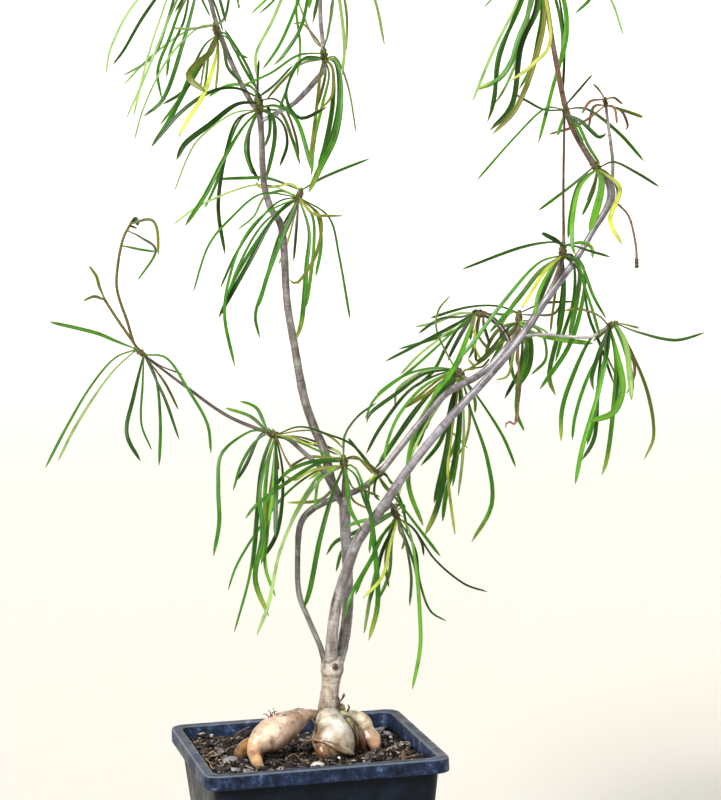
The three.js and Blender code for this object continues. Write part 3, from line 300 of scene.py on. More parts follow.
soil_half = wall_half(SOIL_LEVEL) - WALL - SOIL_GAP
ticks = [(2 * i / SOIL_GRID - 1) * soil_half for i in range(SOIL_GRID + 1)]
places = []
for row in ticks:
    for column in ticks:
        x, y = in_corner(column, row, soil_half, SOIL_CORNER)
        places.append([x, y, min(crumbled(x, y), HIGHEST_CRUMB)])
wide = SOIL_GRID + 1
faces = [[j * wide + i, j * wide + i + 1, (j + 1) * wide + i + 1, (j + 1) * wide + i]
         for j in range(SOIL_GRID) for i in range(SOIL_GRID)]
rim = [*range(wide), *(j * wide + SOIL_GRID for j in range(1, wide)),
       *(SOIL_GRID * wide + i for i in range(SOIL_GRID - 1, -1, -1)),
       *(j * wide for j in range(SOIL_GRID - 1, 0, -1))]
above = rim
for depth in (80, 40, FLOOR + SOIL_GAP):
    shrink = (wall_half(depth) - WALL - SOIL_GAP) / soil_half
    below = list(range(len(places), len(places) + len(rim)))
    places += [[places[k][0] * shrink, places[k][1] * shrink, depth] for k in rim]
    faces += [[above[(i + 1) % len(rim)], above[i], below[i], below[(i + 1) % len(rim)]]
              for i in range(len(rim))]
    above = below
faces.append(list(reversed(above)))

# The mix is composted bark, nearly black where it is damp and brown where it has dried.
DAMP_PATCH = 9
CRUMB = 0.8
potting_mix, tree, shader = new_material("damp bark potting mix", Roughness=0.95, Specular_IOR_Level=0.15)
where = add(tree, "ShaderNodeTexCoord").outputs["Object"]
darkening = add(tree, "ShaderNodeTexNoise", {"Vector": where, "Scale": 1 / (DAMP_PATCH * MM), "Detail": 8.0,
                                        "Roughness": 0.7})
tone = add(tree, "ShaderNodeValToRGB", {"Fac": darkening.outputs["Fac"]},
           stops=[(0.32, "060403"), (0.48, "110c08"), (0.6, "281d14"), (0.74, "544533")])
tree.links.new(tone.outputs["Color"], shader.inputs["Base Color"])
crumb = add(tree, "ShaderNodeTexNoise", {"Vector": where, "Scale": 1 / (CRUMB * MM), "Detail": 6.0,
                                         "Roughness": 0.75})
bump = add(tree, "ShaderNodeBump", {"Height": crumb.outputs["Fac"], "Strength": 0.9, "Distance": 0.5 * MM})
tree.links.new(bump.outputs["Normal"], shader.inputs["Normal"])
make_piece("soil_block", places, faces, [potting_mix], ["soil"], "soil")

# Swollen roots and the foot of the trunk. The plant was potted with its fleshy roots above the soil:
# a long pinkish one to the left, a pale bulb under the trunk and smaller lobes to the right.
# Shapes are drawn on an upright plane through the trunk as across, up, depth behind it, and radius.
PLANE_TURN = math.radians(12)
EYE_ACROSS = 24
EYE_HEIGHT = 328
EYE_DISTANCE = 1025
ROOTS = [
    ["left_root", [[6, 105.2, 0, 1.3], [1, 104.8, -4, 2.3], [-3, 103.2, -7, 4], [-8, 100.6, -11, 5.9],
                   [-13, 97.5, -15, 6.5], [-17, 95.2, -18, 4.9], [-19.2, 92.2, -21, 2.9],
                   [-18.9, 88.5, -26, 2.3], [-17.6, 85, -31, 1.9], [-15.4, 81, -36, 1.2]]],
    ["bulb", [[8.4, 107, 0, 2.4], [8.6, 104.6, -1.5, 3.7], [9, 102, -3, 5.5], [9.5, 98.8, -4.5, 7.1],
              [10, 95.6, -6, 7.9], [11, 92.4, -7, 7.5], [11.6, 89.4, -8, 6], [12, 86.5, -9, 3.5]]],
    ["bulb_foot", [[5, 93.5, -10.5, 1.6], [6, 91.2, -12.2, 3], [7.2, 88.8, -13, 2.7], [8, 86, -13, 1.5]]],
    ["peel", [[-1.8, 92.6, -9.4, 0.35], [-0.8, 94.2, -9.8, 0.45], [1.6, 95.3, -10.6, 0.55],
              [4.6, 95.1, -12.2, 0.65], [7.6, 94, -13.6, 0.8], [10.4, 92.5, -14.4, 0.95],
              [13.2, 90.8, -13.8, 1.15], [16, 89.6, -11.9, 1], [18, 89.2, -9, 0.5]]],
    ["olive_root", [[12.4, 105.2, 1, 1.6], [14.4, 103.2, 1, 2.5], [15.8, 100.6, 1, 2.9], [16.8, 97.4, 1, 2.8],
                    [17.2, 94, 0, 2.3], [17.6, 89.5, 0, 1.5]]],
    ["right_root", [[15, 104.6, 4, 1.7], [19.3, 103.4, 6, 2.5], [21.4, 101, 7, 3.4], [22.4, 97.8, 6.5, 3.5],
                    [24.6, 94.8, 5, 3.5], [25.6, 92.8, 4, 2.5], [26, 89, 3, 1.5]]],
    ["right_fold", [[18.8, 99.5, 3, 1.3], [19.6, 96.5, 2, 1.9], [20.6, 93.6, 2, 1.7], [21, 89.5, 2, 1.1]]],
    ["root_knob", [[11.4, 104, 2, 1.5], [12.6, 105.6, 2.5, 1.9], [13.6, 107, 3, 1.8], [12.8, 108.5, 3, 1]]],
    ["loop_root", [[11.6, 106.6, -0.8, 0.5], [13.2, 104.6, -2, 0.55], [15.2, 104.4, -2.2, 0.5],
                   [17.2, 103, -2.2, 0.5], [18.3, 100.2, -2.2, 0.55], [18.4, 97, -2.2, 0.5],
                   [19, 93.6, -1.8, 0.45], [19.4, 89.5, -1.5, 0.4]]],
    ["amber_root", [[-18, 95.5, -14, 2], [-22, 93.8, -11, 2.8], [-24.3, 90.5, -10, 3.1],
                    [-24.5, 86.5, -10, 2]]],
    ["fine_root", [[-7, 105.6, -9, 0.6], [-2.5, 107.2, -6, 0.5], [1, 106.2, -3, 0.5], [5, 104, 0, 0.7]]],
]
ROOT_SKINS = {
    "left_root": ("9c8576", "bda289", "ae8659"), "bulb": ("a8a59a", "aca898", "836a48"),
    "bulb_foot": ("8a5c36", "6b4526"), "peel": ("74583a", "85694a"), "olive_root": ("a59c6e", "857849"),
    "right_root": ("beb398", "b8a688", "9f7358"), "right_fold": ("8a5f45", "6d4630"),
    "root_knob": ("98906f", "8c8262"), "loop_root": ("45421f", "4b3a24"),
    "amber_root": ("946c3a", "5f4322"), "fine_root": ("3f3120", "3f3120"),
    "trunk": ("a69a88", "b0a99f"), "middle_trunk": ("938e89", "938e89"),
    "front_branch": ("a19c95", "a19c95"), "thin_branch": ("7c7773", "7c7773"),
}
# Soft patches on the roots and the foot of the trunk: a waxy pink blush, amber where the light comes through,
# and
# old soil. Among them is painted light: painted highlights on the left root, the bulb and the right side of
# the trunk, and painted shade down the trunk's left edge, in the hollow beside the bulb and under its peel.
# Each is drawn as across, up, depth, reach, colour and strength.
PATCHES = [
    # The pale pink patches on the left root are partly a waxy blush and partly a painted highlight.
    (-13, 97.5, -21, 4.5, "ecd8c4", 0.9), (-8.5, 102.5, -15, 3.5, "cfb8a8", 0.7),
    (-20.5, 95, -19, 3, "b5813f", 0.75), (-2.2, 102.2, -10, 2.6, "63493b", 0.8),
    (-8, 94.5, -17, 3.5, "6d4434", 0.7), (-15.6, 92.2, -23, 1.5, "4f2b1e", 0.9),
    (-5.6, 104.4, -11, 1.6, "4f3b30", 0.8), (-10.6, 99.4, -18, 1.3, "7a5644", 0.6),
    (-18.2, 89, -28, 2.6, "d3ae78", 0.7), (-17.6, 84.6, -32, 2, "5d4630", 0.8),
    # The pale patch on the bulb's upper right is a painted highlight.
    (12.6, 100, -11, 3.8, "dcdcd5", 0.9), (8.5, 104, -5, 2.5, "b9b09a", 0.7),
    (4.4, 97.6, -10, 3.2, "87662f", 0.85), (13.4, 95, -14, 3, "b09a78", 0.7),
    # The dark patch in the hollow left of the bulb and the brown under its peel are painted shade.
    (3, 92.5, -13, 2, "4a2d18", 0.9), (9.8, 90.4, -15, 2.6, "6b4a2a", 0.8),
    (16.8, 97, -8, 2.2, "7f7658", 0.7), (20.5, 102.5, 3, 3, "dad2ba", 0.85),
    (22.5, 97.4, 2, 2.2, "94634f", 0.8), (26, 93.6, 1.5, 2, "c59a7c", 0.8),
    (20.8, 94, 1, 1.6, "3d2118", 0.9), (23.6, 99.6, 3, 1.4, "63483a", 0.6),
    (25, 89.4, 2, 1.8, "4c3022", 0.8),
    # Painted shade browns the trunk's left edge, and a painted highlight pales its right side.
    (4.8, 108, -2.4, 2.6, "69533c", 0.9), (6, 114, -2.4, 2.4, "725d47", 0.85),
    (6.8, 119, -2.4, 2, "7d6a54", 0.8), (8.6, 106.2, -4, 1.8, "66513d", 0.6),
    (11.4, 110, -3.6, 1.8, "dcd8cf", 0.7), (12.2, 115, -3.6, 1.8, "dcd8cf", 0.7),
    (12.6, 123.4, -4.4, 2.4, "d3cbc0", 0.7), (9, 123, -4.4, 2.4, "beb2a6", 0.6),
    (9, 118, -4, 1.4, "8f8272", 0.5),
]
FOOT_STEMS = [
    ["trunk", [[7.4, 100, 0, 4.3], [8.2, 106, 0, 3.8], [9, 111, 0, 3.5], [9.7, 116, 0, 3.45],
               [10.1, 119, 0, 3.75], [10.4, 121.4, 0, 4.45], [10.6, 123.6, 0, 4.35], [10.9, 127, 0, 3]]],
    ["middle_trunk", [[12.2, 123, 1, 2.6], [13.2, 126.4, 2.2, 2.3], [14.3, 130, 3.3, 1.6]]],
    ["front_branch", [[9.8, 123, -1, 2.5], [10.1, 126.5, -2, 2.3], [10.5, 130.5, -3, 1.6]]],
    ["thin_branch", [[8, 124, 0, 1.4], [7.2, 127.4, 0.5, 1.2], [6.4, 130.4, 1, 0.7]]],
]
CURVE_STEPS = 200
ROOT_STEP = 1.2
ROOT_SIDES = 28


def spot(across, up, depth):
    """The place of a drawn point: one off the plane slides along its line of sight."""
    x = across + (across - EYE_ACROSS) * depth / EYE_DISTANCE
    z = up + (up - EYE_HEIGHT) * depth / EYE_DISTANCE
    cos, sin = math.cos(PLANE_TURN), math.sin(PLANE_TURN)
    return np.array((x * cos + depth * sin, depth * cos - x * sin, z))


def curve_at(points, shares):
    """Places on the smooth curve through the points, by the same rule as the solids."""
    points = np.asarray(points)
    held = np.vstack([2 * points[:1] - points[1:2], points, 2 * points[-1:] - points[-2:-1]])
    spans = len(points) - 1
    k = np.minimum((np.asarray(shares) * spans).astype(int), spans - 1)
    t = (np.asarray(shares) * spans - k)[:, None]
    p0, p1, p2, p3 = held[k], held[k + 1], held[k + 2], held[k + 3]
    t0, t1 = 0.5 * (p2 - p0), 0.5 * (p3 - p1)
    return p1 + t0 * t + (3 * (p2 - p1) - 2 * t0 - t1) * t * t + (2 * (p1 - p2) + t0 + t1) * t ** 3


def lengths_along(points):
    """How far along the curve each of its small steps lies."""
    steps = curve_at(points, np.linspace(0, 1, CURVE_STEPS + 1))
    return np.concatenate([[0], np.cumsum(np.linalg.norm(np.diff(steps, axis=0), axis=1))])


def spaced(points, count):
    """Points at equal distances along the curve, and their shares of its parameter."""
    gone = lengths_along(points)
    shares = np.interp(np.linspace(0, gone[-1], count + 1), gone, np.linspace(0, 1, CURVE_STEPS + 1))
    return curve_at(points, shares), shares


def tube(rings, count):
    """The faces of a tube through rings of points, with flat ends."""
    ends = [list(reversed(range(count))), [(rings - 1) * count + i for i in range(count)]]
    return between_rings(rings, count) + ends


def strand(path, radii, sides, lumps=None):
    """A round closed strand along a path, carried on without twisting. Lumps scale its radius."""
    path = np.asarray(path, dtype=float)
    along = np.gradient(path, axis=0)
    along /= np.linalg.norm(along, axis=1)[:, None]
    side = np.cross(along[0], (0.3, 0.9, 0.31))
    side /= np.linalg.norm(side)
    turns = np.linspace(0, 2 * math.pi, sides, endpoint=False)
    rings = []
    for i, middle in enumerate(path):
        side = side - along[i] * np.dot(side, along[i])
        side /= np.linalg.norm(side)
        other = np.cross(along[i], side)
        girth = radii[i] * (np.ones(sides) if lumps is None else np.asarray(lumps[i]))
        out = np.outer(np.cos(turns), side) + np.outer(np.sin(turns), other)
        rings.append(middle + out * girth[:, None])
    return np.concatenate(rings), tube(len(path), sides)


def row_stations(points, step):
    """Fine stations along a drawn row: places, radii and shares."""
    ends = [spot(*point[:3]) for point in points]
    count = max(3, math.ceil(lengths_along(ends)[-1] / step))
    path, shares = spaced(ends, count)
    radii = np.interp(shares * (len(points) - 1), range(len(points)), [point[3] for point in points])
    return path, radii, shares


def joined(parts):
    """Several meshes as one."""
    places, faces, start = [], [], 0
    for part_places, part_faces in parts:
        places.append(np.asarray(part_places))
        faces += [[k + start for k in face] for face in part_faces]
        start += len(part_places)
    return np.concatenate(places), faces


def skin_between(codes, share):
    """The colour at a share of the way along evenly placed colours."""
    at = share * (len(codes) - 1)
    k = min(int(at), len(codes) - 2)
    first, last = (np.array(linear(code)) for code in codes[k:k + 2])
    return first + (last - first) * (at - k)


parts = []
stations = []
for row, (name, points) in enumerate(ROOTS + FOOT_STEMS):
    path, radii, shares = row_stations(points, ROOT_STEP)
    parts.append(strand(path, radii, ROOT_SIDES))
    colours = [skin_between(ROOT_SKINS[name], share) for share in shares]
    stations.append((path, radii, colours, np.full(len(path), row), shares))
centres, sizes, skins, owners, row_shares = (np.concatenate(values) for values in zip(*stations))
places, faces = joined(parts)

# The skin is thin and waxy, pink to buff, with shallow creases, brown peeling flecks and a foot that darkens
# towards the soil.
WRINKLE = 1.6
MOTTLING = 4.5
FLECK = 0.9
root_skin, tree, shader = new_material("waxy root skin", IOR=1.45, Subsurface_Weight=0.08,
                                       Subsurface_Scale=1.5 * MM, Coat_Weight=0.4, Coat_Roughness=0.26)
where = add(tree, "ShaderNodeTexCoord").outputs["Object"]
skin = add(tree, "ShaderNodeAttribute", attribute_name="skin")
mottle = add(tree, "ShaderNodeTexNoise", {"Vector": where, "Scale": 1 / (MOTTLING * MM), "Detail": 7.0,
                                          "Roughness": 0.65})
veil = add(tree, "ShaderNodeValToRGB", {"Fac": mottle.outputs["Fac"]},
           stops=[(0.3, "a89484"), (0.42, "e4dcd4"), (0.55, "ffffff"), (0.8, "ffffff")])
mixed = add(tree, "ShaderNodeMix", {0: 1.0, 6: skin.outputs["Color"], 7: veil.outputs["Color"]},
            data_type="RGBA", blend_type="MULTIPLY")
flecks = add(tree, "ShaderNodeTexNoise", {"Vector": where, "Scale": 1 / (FLECK * MM), "Detail": 4.0})
fleck_mask = add(tree, "ShaderNodeValToRGB", {"Fac": flecks.outputs["Fac"]},
                 stops=[(0.66, "000000"), (0.76, "808080")])
flecked = add(tree, "ShaderNodeMix", {0: fleck_mask.outputs["Color"], 6: mixed.outputs[2],
                                      7: linear("4f3322")}, data_type="RGBA")
tree.links.new(flecked.outputs[2], shader.inputs["Base Color"])
sheen = add(tree, "ShaderNodeMapRange", {"Value": mottle.outputs["Fac"], "To Min": 0.34, "To Max": 0.56})
tree.links.new(sheen.outputs["Result"], shader.inputs["Roughness"])
folds = add(tree, "ShaderNodeTexNoise", {"Vector": where, "Scale": 1 / (WRINKLE * MM), "Detail": 5.0})
bump = add(tree, "ShaderNodeBump", {"Height": folds.outputs["Fac"], "Strength": 0.6, "Distance": 0.3 * MM})
tree.links.new(bump.outputs["Normal"], shader.inputs["Normal"])

# The roots and the foot are fused by a fine voxel skin, smoothed, then wrinkled across their length.
# Above the soil's reach the same skin turns to the bark of the trunk, with a fold round its knuckle.
SKIN_GRID = 0.45
SEAM_WIDTH = 0.8
DARK_FOOT_HEIGHT = 2.5
SMUDGED_BELOW = 106
WOOD_FROM = 107.6
KNUCKLE_FOLDS = (120.6, 126.9)
FOLD_WIDTH = 0.45
caudex = make_piece("swollen_roots", places, faces, [root_skin], ["caudex_and_branches"], "bark")
fuse = caudex.modifiers.new("fuse", "REMESH")
fuse.mode, fuse.voxel_size = "VOXEL", SKIN_GRID * MM
soften = caudex.modifiers.new("soften", "SMOOTH")
soften.factor, soften.iterations = 0.6, 4
bpy.context.view_layer.objects.active = caudex
bpy.ops.object.modifier_apply(modifier=fuse.name)
bpy.ops.object.modifier_apply(modifier=soften.name)
row_names = [name for name, points in ROOTS + FOOT_STEMS]
thin_rows = [row_names.index(name) for name in ("peel", "loop_root", "fine_root")]
patch_places = np.array([spot(*patch[:3]) for patch in PATCHES])
patch_tints = np.array([linear(patch[4]) for patch in PATCHES])


def foot_skin(points):
    """The skin's tint, the depth of seams between roots, the row and the share along it, at points."""
    gaps = np.linalg.norm(points[:, None] - centres[None], axis=2) - sizes
    low = gaps.min(axis=1)
    weights = np.exp(-3.0 * (gaps - low[:, None]))
    tint = weights @ skins / weights.sum(axis=1)[:, None]
    nearest = gaps.argmin(axis=1)
    owner = owners[nearest]
    rival = np.where(owners[None] == owner[:, None], 99.0, gaps).min(axis=1)
    seam = np.clip(1 - (rival - low) / SEAM_WIDTH, 0, 1)
    stout = ~np.isin(owner, thin_rows)
    for patch, middle, colour in zip(PATCHES, patch_places, patch_tints):
        near = np.exp(-((np.linalg.norm(points - middle, axis=1) / patch[3]) ** 2)) * patch[5] * stout
        tint += (colour - tint) * near[:, None]
    return tint, seam, owner, row_shares[nearest]


points = np.array([vertex.co for vertex in caudex.data.vertices]) / MM
found = [foot_skin(part) for part in np.array_split(points, len(points) // 3000 + 1)]
tint, seam, owner, share = (np.concatenate(values) for values in zip(*found))
# The skin darkens within a few millimetres of the soil.
ground = np.clip(1 - (points[:, 2] - [soil_height(x, y) for x, y, z in points]) / DARK_FOOT_HEIGHT, 0, 1)
crease = np.array([noise.fractal(Vector((26 * along, 9.0 * row, 0.2 * place[0])), 0.7, 2.2, 3)
                   for along, row, place in zip(share, owner, points)])
broad = np.array([noise.noise(Vector(place) * 0.2) for place in points])
smudge = np.array([noise.fractal(Vector(place) * 0.22, 0.9, 2.1, 4) for place in points])
smudge = np.clip(smudge, 0, 1) * (points[:, 2] < SMUDGED_BELOW)
rings = np.array([noise.noise(Vector((0, 3, z * 1.3))) for z in points[:, 2]])
# Painted shade darkens the seams between roots; the skin also darkens towards the soil, varies along its
# creases and is smudged low down.
tint[:, :3] *= ((1 - 0.55 * seam) * (1 - 0.6 * ground) * (1 + 0.32 * crease) * (1 - 0.75 * smudge))[:, None]
woods = (points[:, 2] > WOOD_FROM) & (owner != row_names.index("root_knob"))
tilted = points[:, 2] + 0.12 * points[:, 0]
folds = sum(np.exp(-((tilted - z) / FOLD_WIDTH) ** 2) for z in KNUCKLE_FOLDS)
# Painted shade: the skin is darkened in the folds round the knuckle, which are also cut in as relief below.
tint[:, :3] *= (1 - 0.3 * folds * woods)[:, None]
push = np.where(woods, 0.06 * rings - 0.22 * folds, 0.16 * crease + 0.2 * broad - 0.2 * seam)
for vertex, out in zip(caudex.data.vertices, push):
    vertex.co += vertex.normal * out * MM
lay_on(caudex.data, "skin", "FLOAT_COLOR", "color", tint)
lay_on(caudex.data, "grain", "FLOAT_VECTOR", "vector", points[:, [2, 0, 1]])
caudex.data.polygons.foreach_set("use_smooth", [True] * len(caudex.data.polygons))
caudex.data.update()

# Root hairs. Fine dry roots stand on the neck of the left root and lie round the bulb, and a dead bud
# twig sits on the knob behind the trunk. They grew with the roots and share their dark dry skin.
HAIRS = [
    [[-13.6, 103.2, -14, 0.3], [-12.9, 105.6, -14, 0.22], [-13.8, 107.4, -14, 0.1]],
    [[-12.6, 103.4, -14, 0.3], [-12.2, 106, -14, 0.22], [-10.4, 106.6, -14, 0.1]],
    [[-13, 103.2, -14, 0.25], [-14.4, 105.4, -14, 0.2], [-15.8, 105.6, -14, 0.1]],
    [[-12.2, 103, -13, 0.25], [-11.4, 105.4, -13, 0.2], [-11.9, 107.8, -13, 0.1]],
    [[12.4, 107.6, -1, 0.5], [12.8, 109.6, -2, 0.42], [12.2, 111.2, -2, 0.5], [11.8, 111.9, -2, 0.2]],
    [[12.8, 109.6, -2, 0.4], [13.9, 110.6, -2, 0.36], [14.5, 111.9, -2, 0.55], [14.7, 112.6, -2, 0.2]],
    [[15.4, 105.4, 1, 0.4], [16.4, 107.2, 0, 0.36], [16, 108.4, 0, 0.2]],
    [[2.2, 103.6, -6, 0.5], [3.6, 101.2, -8, 0.45], [3.2, 98.4, -10.4, 0.4], [1.2, 96, -11, 0.2]],
    [[-21, 101, -11, 0.25], [-24.6, 99.2, -10, 0.3], [-27.4, 96.6, -9, 0.25], [-30, 95.8, -8, 0.1]],
]
HAIR_STEP = 0.4
HAIR_SIDES = 7
drawn = [row_stations(row, HAIR_STEP) for row in HAIRS]
places, faces = joined([strand(path, radii, HAIR_SIDES) for path, radii, shares in drawn])
make_piece("root_hairs", places, faces, [root_skin], [], "bark",
           np.repeat([linear("4a3728")], len(places), axis=0))

# Branches. Smooth silvery bark with a mauve cast, ringed every few millimetres by old leaf scars and
# browner on young wood. Each is one tapering strand that grows out of the one below.
STEMS = [
    ["trunk", [[7.4, 100, 0, 4.3], [8.2, 106, 0, 3.8], [9.6, 115, 0, 3.5], [10.5, 122, 0, 4.2],
        [10.9, 127, 0, 3.2]]],
    ["middle_trunk", [[12.2, 123, 1, 2.6], [15, 132, 4, 2.3], [17, 145, 5, 2.2], [17.3, 160, 5, 2.1],
        [17, 173, 4, 2.1], [17, 187, 2, 2.4]]],
    ["front_branch", [[9.8, 123, -1, 2.5], [10.8, 133.6, -3.5, 2.3], [12.8, 145.8, -4, 2.3],
        [16.8, 158, -5, 2.2], [21.6, 170, -6, 2.1], [30.3, 181.2, -7, 2], [42.5, 198, -9, 1.7],
        [57, 214.7, -11, 1.6], [70, 228, -11, 1.5], [83, 242.7, -10, 1.5], [93, 256.8, -9, 1.5],
        [104, 271, -6, 1.3], [111, 282, -4, 1.2], [115.6, 289, -2, 1.4], [117.8, 294.5, 0, 1.8],
        [116.6, 300, 1, 1.5], [112.4, 305, 1, 1.3], [108, 312, 1, 1.2], [104, 320, 2, 1.2],
        [101.6, 328, 2, 1.1], [100, 336, 1, 1.1], [98.5, 345, 0, 1], [97, 355, -1, 1],
        [95.6, 366, -2, 0.9], [93.5, 376, -3, 0.9], [92, 386, -3, 0.8]]],
    ["thin_branch", [[8, 124, 0, 1.4], [6.2, 131, 1, 1.1], [2.5, 140.5, 3, 1.1], [-0.9, 150.7, 4, 1.1],
        [-1, 164, 5, 1.1], [0.3, 176, 6, 1.3], [4.6, 181.8, 7, 1.4], [13, 185.7, 7, 1.2],
        [22, 188.6, 8, 1.2], [29, 193.5, 9, 1.3], [38, 204, 10, 1.3], [46, 213.5, 11, 1.3],
        [55, 223, 12, 1.4], [61, 226.5, 13, 1.4], [67, 229.5, 14, 1.4], [73, 234, 15, 1.3],
        [77, 238.5, 16, 1.3], [80, 242, 17, 1.4]]],
    ["left_branch", [[16, 184, 1, 1.9], [12.5, 192, 3, 1.9], [10, 204, 5, 1.8], [6.4, 213, 7, 1.8],
        [3, 225, 8, 1.7], [0.2, 244, 10, 1.6], [-1.9, 260, 11, 1.5], [-2.8, 285, 13, 1.5],
        [-6.9, 294, 14, 1.35], [-9, 304, 15, 1.3], [-9.2, 320, 16, 1.2], [-9.8, 328, 16, 1.3],
        [-13, 333, 17, 1.1], [-17.5, 342.5, 18, 1], [-22, 354, 20, 1], [-25, 364, 21, 0.9],
        [-27.5, 376, 23, 0.9], [-29, 386, 25, 0.8]]],
    ["upper_middle_twig", [[-9.4, 325, 16, 1], [-4, 327.8, 13, 0.9], [2.5, 331, 8, 1], [7, 335, 3, 1.1],
        [10.8, 339, -2, 1.2], [14, 343.5, -7, 1], [14.3, 351, -10, 0.9], [13.6, 362, -13, 0.8],
        [14.2, 376, -17, 0.8], [15, 389, -20, 0.8]]],
    ["inner_twig", [[-2.7, 283, 13, 1.2], [-0.3, 288, 11, 1], [2.4, 294, 9, 1], [4.4, 298.5, 8, 0.9]]],
    ["far_left_twig", [[15, 187.5, 0, 1.3], [11.9, 191.5, -3, 1.1], [8.8, 197, -6, 1], [1.5, 204.3, -9, 0.9],
        [-3.3, 208.6, -11, 0.9], [-8.8, 210.4, -12, 0.8], [-25, 217.6, -16, 0.7], [-39.8, 228.7, -20, 0.6],
        [-48.6, 235.7, -23, 0.5], [-55.5, 241.2, -25, 0.5]]],
    ["fork_shoot", [[17, 186, 1, 1.3], [17.5, 193, -2, 1.1], [17.2, 200, -3, 1]]],
    ["low_shoot", [[32, 183.5, -7, 1.2], [34.6, 182.5, -4, 1], [36, 179.5, 0, 0.9]]],
    ["inner_right_shoot_a", [[79.5, 241.5, 17, 1.2], [77, 246.5, 20, 1], [72, 251.5, 23, 1.2],
        [67.5, 253, 24, 1]]],
    ["inner_right_shoot_b", [[64, 228, 13.5, 1], [61.5, 230, 16, 0.9], [59.5, 232.5, 18, 0.9]]],
    ["inner_right_shoot_c", [[80, 241.8, 17, 1.2], [82.5, 246, 18.5, 1], [83.1, 251.5, 20, 0.9]]],
    ["thin_twig", [[93, 256.8, -9, 1.3], [96.5, 263.5, -8, 1.1], [98.8, 270, -8, 1], [100, 277, -8, 0.7],
        [100.2, 290, -8.5, 0.5], [100.6, 305, -9, 0.5], [101.4, 325, -10, 0.5]]],
    ["grey_twig", [[84, 243.8, -10, 0.8], [92, 244.3, -13, 0.6], [100, 243.3, -17, 0.6],
        [109, 242.8, -20, 0.6], [112.5, 244.6, -21, 0.7], [117, 247, -22, 0.6]]],
]
BARK_COLOURS = {
    "trunk": ("a69a88", "b0a99f"), "middle_trunk": ("938e89", "8d898a", "9b989b", "aaa7ad"),
    "front_branch": ("a19c95", "8f8c8e", "82808a", "7d7b84", "807e7f", "6f5038", "70523c", "7d5f49"),
    "thin_branch": ("78736f", "7a7676", "8f8d97"), "left_branch": ("6d6864", "7e7a77", "736e6a"),
    "upper_middle_twig": ("a19ea8", "8c878a"), "inner_twig": ("7c7262", "5f5a34"),
    "far_left_twig": ("928e92", "605855", "382c2a"), "fork_shoot": ("6f6650", "4f4c2a"),
    "low_shoot": ("746d56", "4f4c2a"), "inner_right_shoot_a": ("4c3a2c", "33261c"),
    "inner_right_shoot_b": ("7f7968", "5b5834"), "inner_right_shoot_c": ("7f7968", "5b5834"),
    "thin_twig": ("7d7671", "5c4131", "35231a"), "grey_twig": ("8f8c8d", "9b9898"),
}
BARK_STEP = 0.5
SCAR_SPACING = 3.1
SCAR_WIDTH = 0.36
NODE_SPACING = 17
NODE_WIDTH = 1.4
BODY_SHARE = 0.93
EMBED = 0.72
EMBED_LENGTH = 3
CLOSED_TIP = 0.55
# The lower left side of every stem is painted shade: darkened and browned towards this tint, in patches.
SHADED_SIDE = np.array((-0.85, 0.1, -0.5))
SHADE_TINT = np.array((0.62, 0.48, 0.34))
seeded = random.Random(7)


def ringed_stem(points, colours, sides=16):
    """A stem with leaf scar rings and knots as relief, its bark's tint and its grain at each point."""
    path, radii, shares = row_stations(points, BARK_STEP)
    total = lengths_along([spot(*point[:3]) for point in points])[-1]
    spots = np.linspace(0, total, len(path))
    scars, at = [], 1.5
    while at < total:
        scars.append((at, seeded.uniform(0.4, 1.0), seeded.uniform(0, 2 * math.pi)))
        at += SCAR_SPACING * seeded.uniform(0.6, 1.5)
    knots, at = [], NODE_SPACING * 0.7
    while at < total:
        knots.append((at, seeded.uniform(0.3, 1.0)))
        at += NODE_SPACING * seeded.uniform(0.6, 1.4)
    turns = np.linspace(0, 2 * math.pi, sides, endpoint=False)
    phase = seeded.uniform(0, 50)
    lumps, tints, grains = [], [], []
    for i, s in enumerate(spots):
        ridge = np.zeros(sides)
        for place, height, turn in scars:
            gap = abs(s - place)
            if gap < 1.2:
                ridge += height * math.exp(-(gap / SCAR_WIDTH) ** 2) * (0.6 + 0.4 * np.cos(turns - turn))
        swell = sum(0.07 * height * math.exp(-((s - place) / NODE_WIDTH) ** 2) for place, height in knots)
        rough = np.array([noise.noise(Vector((math.cos(t) * 1.3 + phase, math.sin(t) * 1.3, s * 0.25)))
                          for t in turns])
        into = 1.0 if s > EMBED_LENGTH else EMBED + (1 - EMBED) * s / EMBED_LENGTH
        lumps.append((BODY_SHARE + 0.03 * ridge + swell + 0.02 * rough) * into)
        base = skin_between(colours, shares[i])
        tint = base[:3] * (1 + 0.16 * rough)[:, None] * (1 - 0.3 * np.clip(ridge, 0, 1))[:, None]
        tints.append(np.concatenate([tint, np.ones((sides, 1))], axis=1))
        girth = radii[i]
        grains.append([(s + phase, math.cos(t) * girth, math.sin(t) * girth) for t in turns])
    radii = radii.copy()
    radii[-1] *= CLOSED_TIP
    places, faces = strand(path, radii, sides, lumps)
    tints = np.concatenate(tints)
    # Painted shade on each stem's lower left side, darkened and browned in patches.
    out = places - np.repeat(path, sides, axis=0)
    out /= np.linalg.norm(out, axis=1)[:, None]
    darkening = np.clip(out @ SHADED_SIDE, 0, 1) ** 1.5
    darkening *= [0.3 + 0.5 * abs(noise.noise(Vector(place) * 0.09)) for place in places]
    tints[:, :3] += (tints[:, :3] * SHADE_TINT - tints[:, :3]) * darkening[:, None]
    return (places, faces), tints, np.concatenate(grains)


parts, tints, grains = [], [], []
for name, points in STEMS:
    part, tint, grain = ringed_stem(points, BARK_COLOURS[name])
    parts.append(part)
    tints.append(tint)
    grains.append(grain)

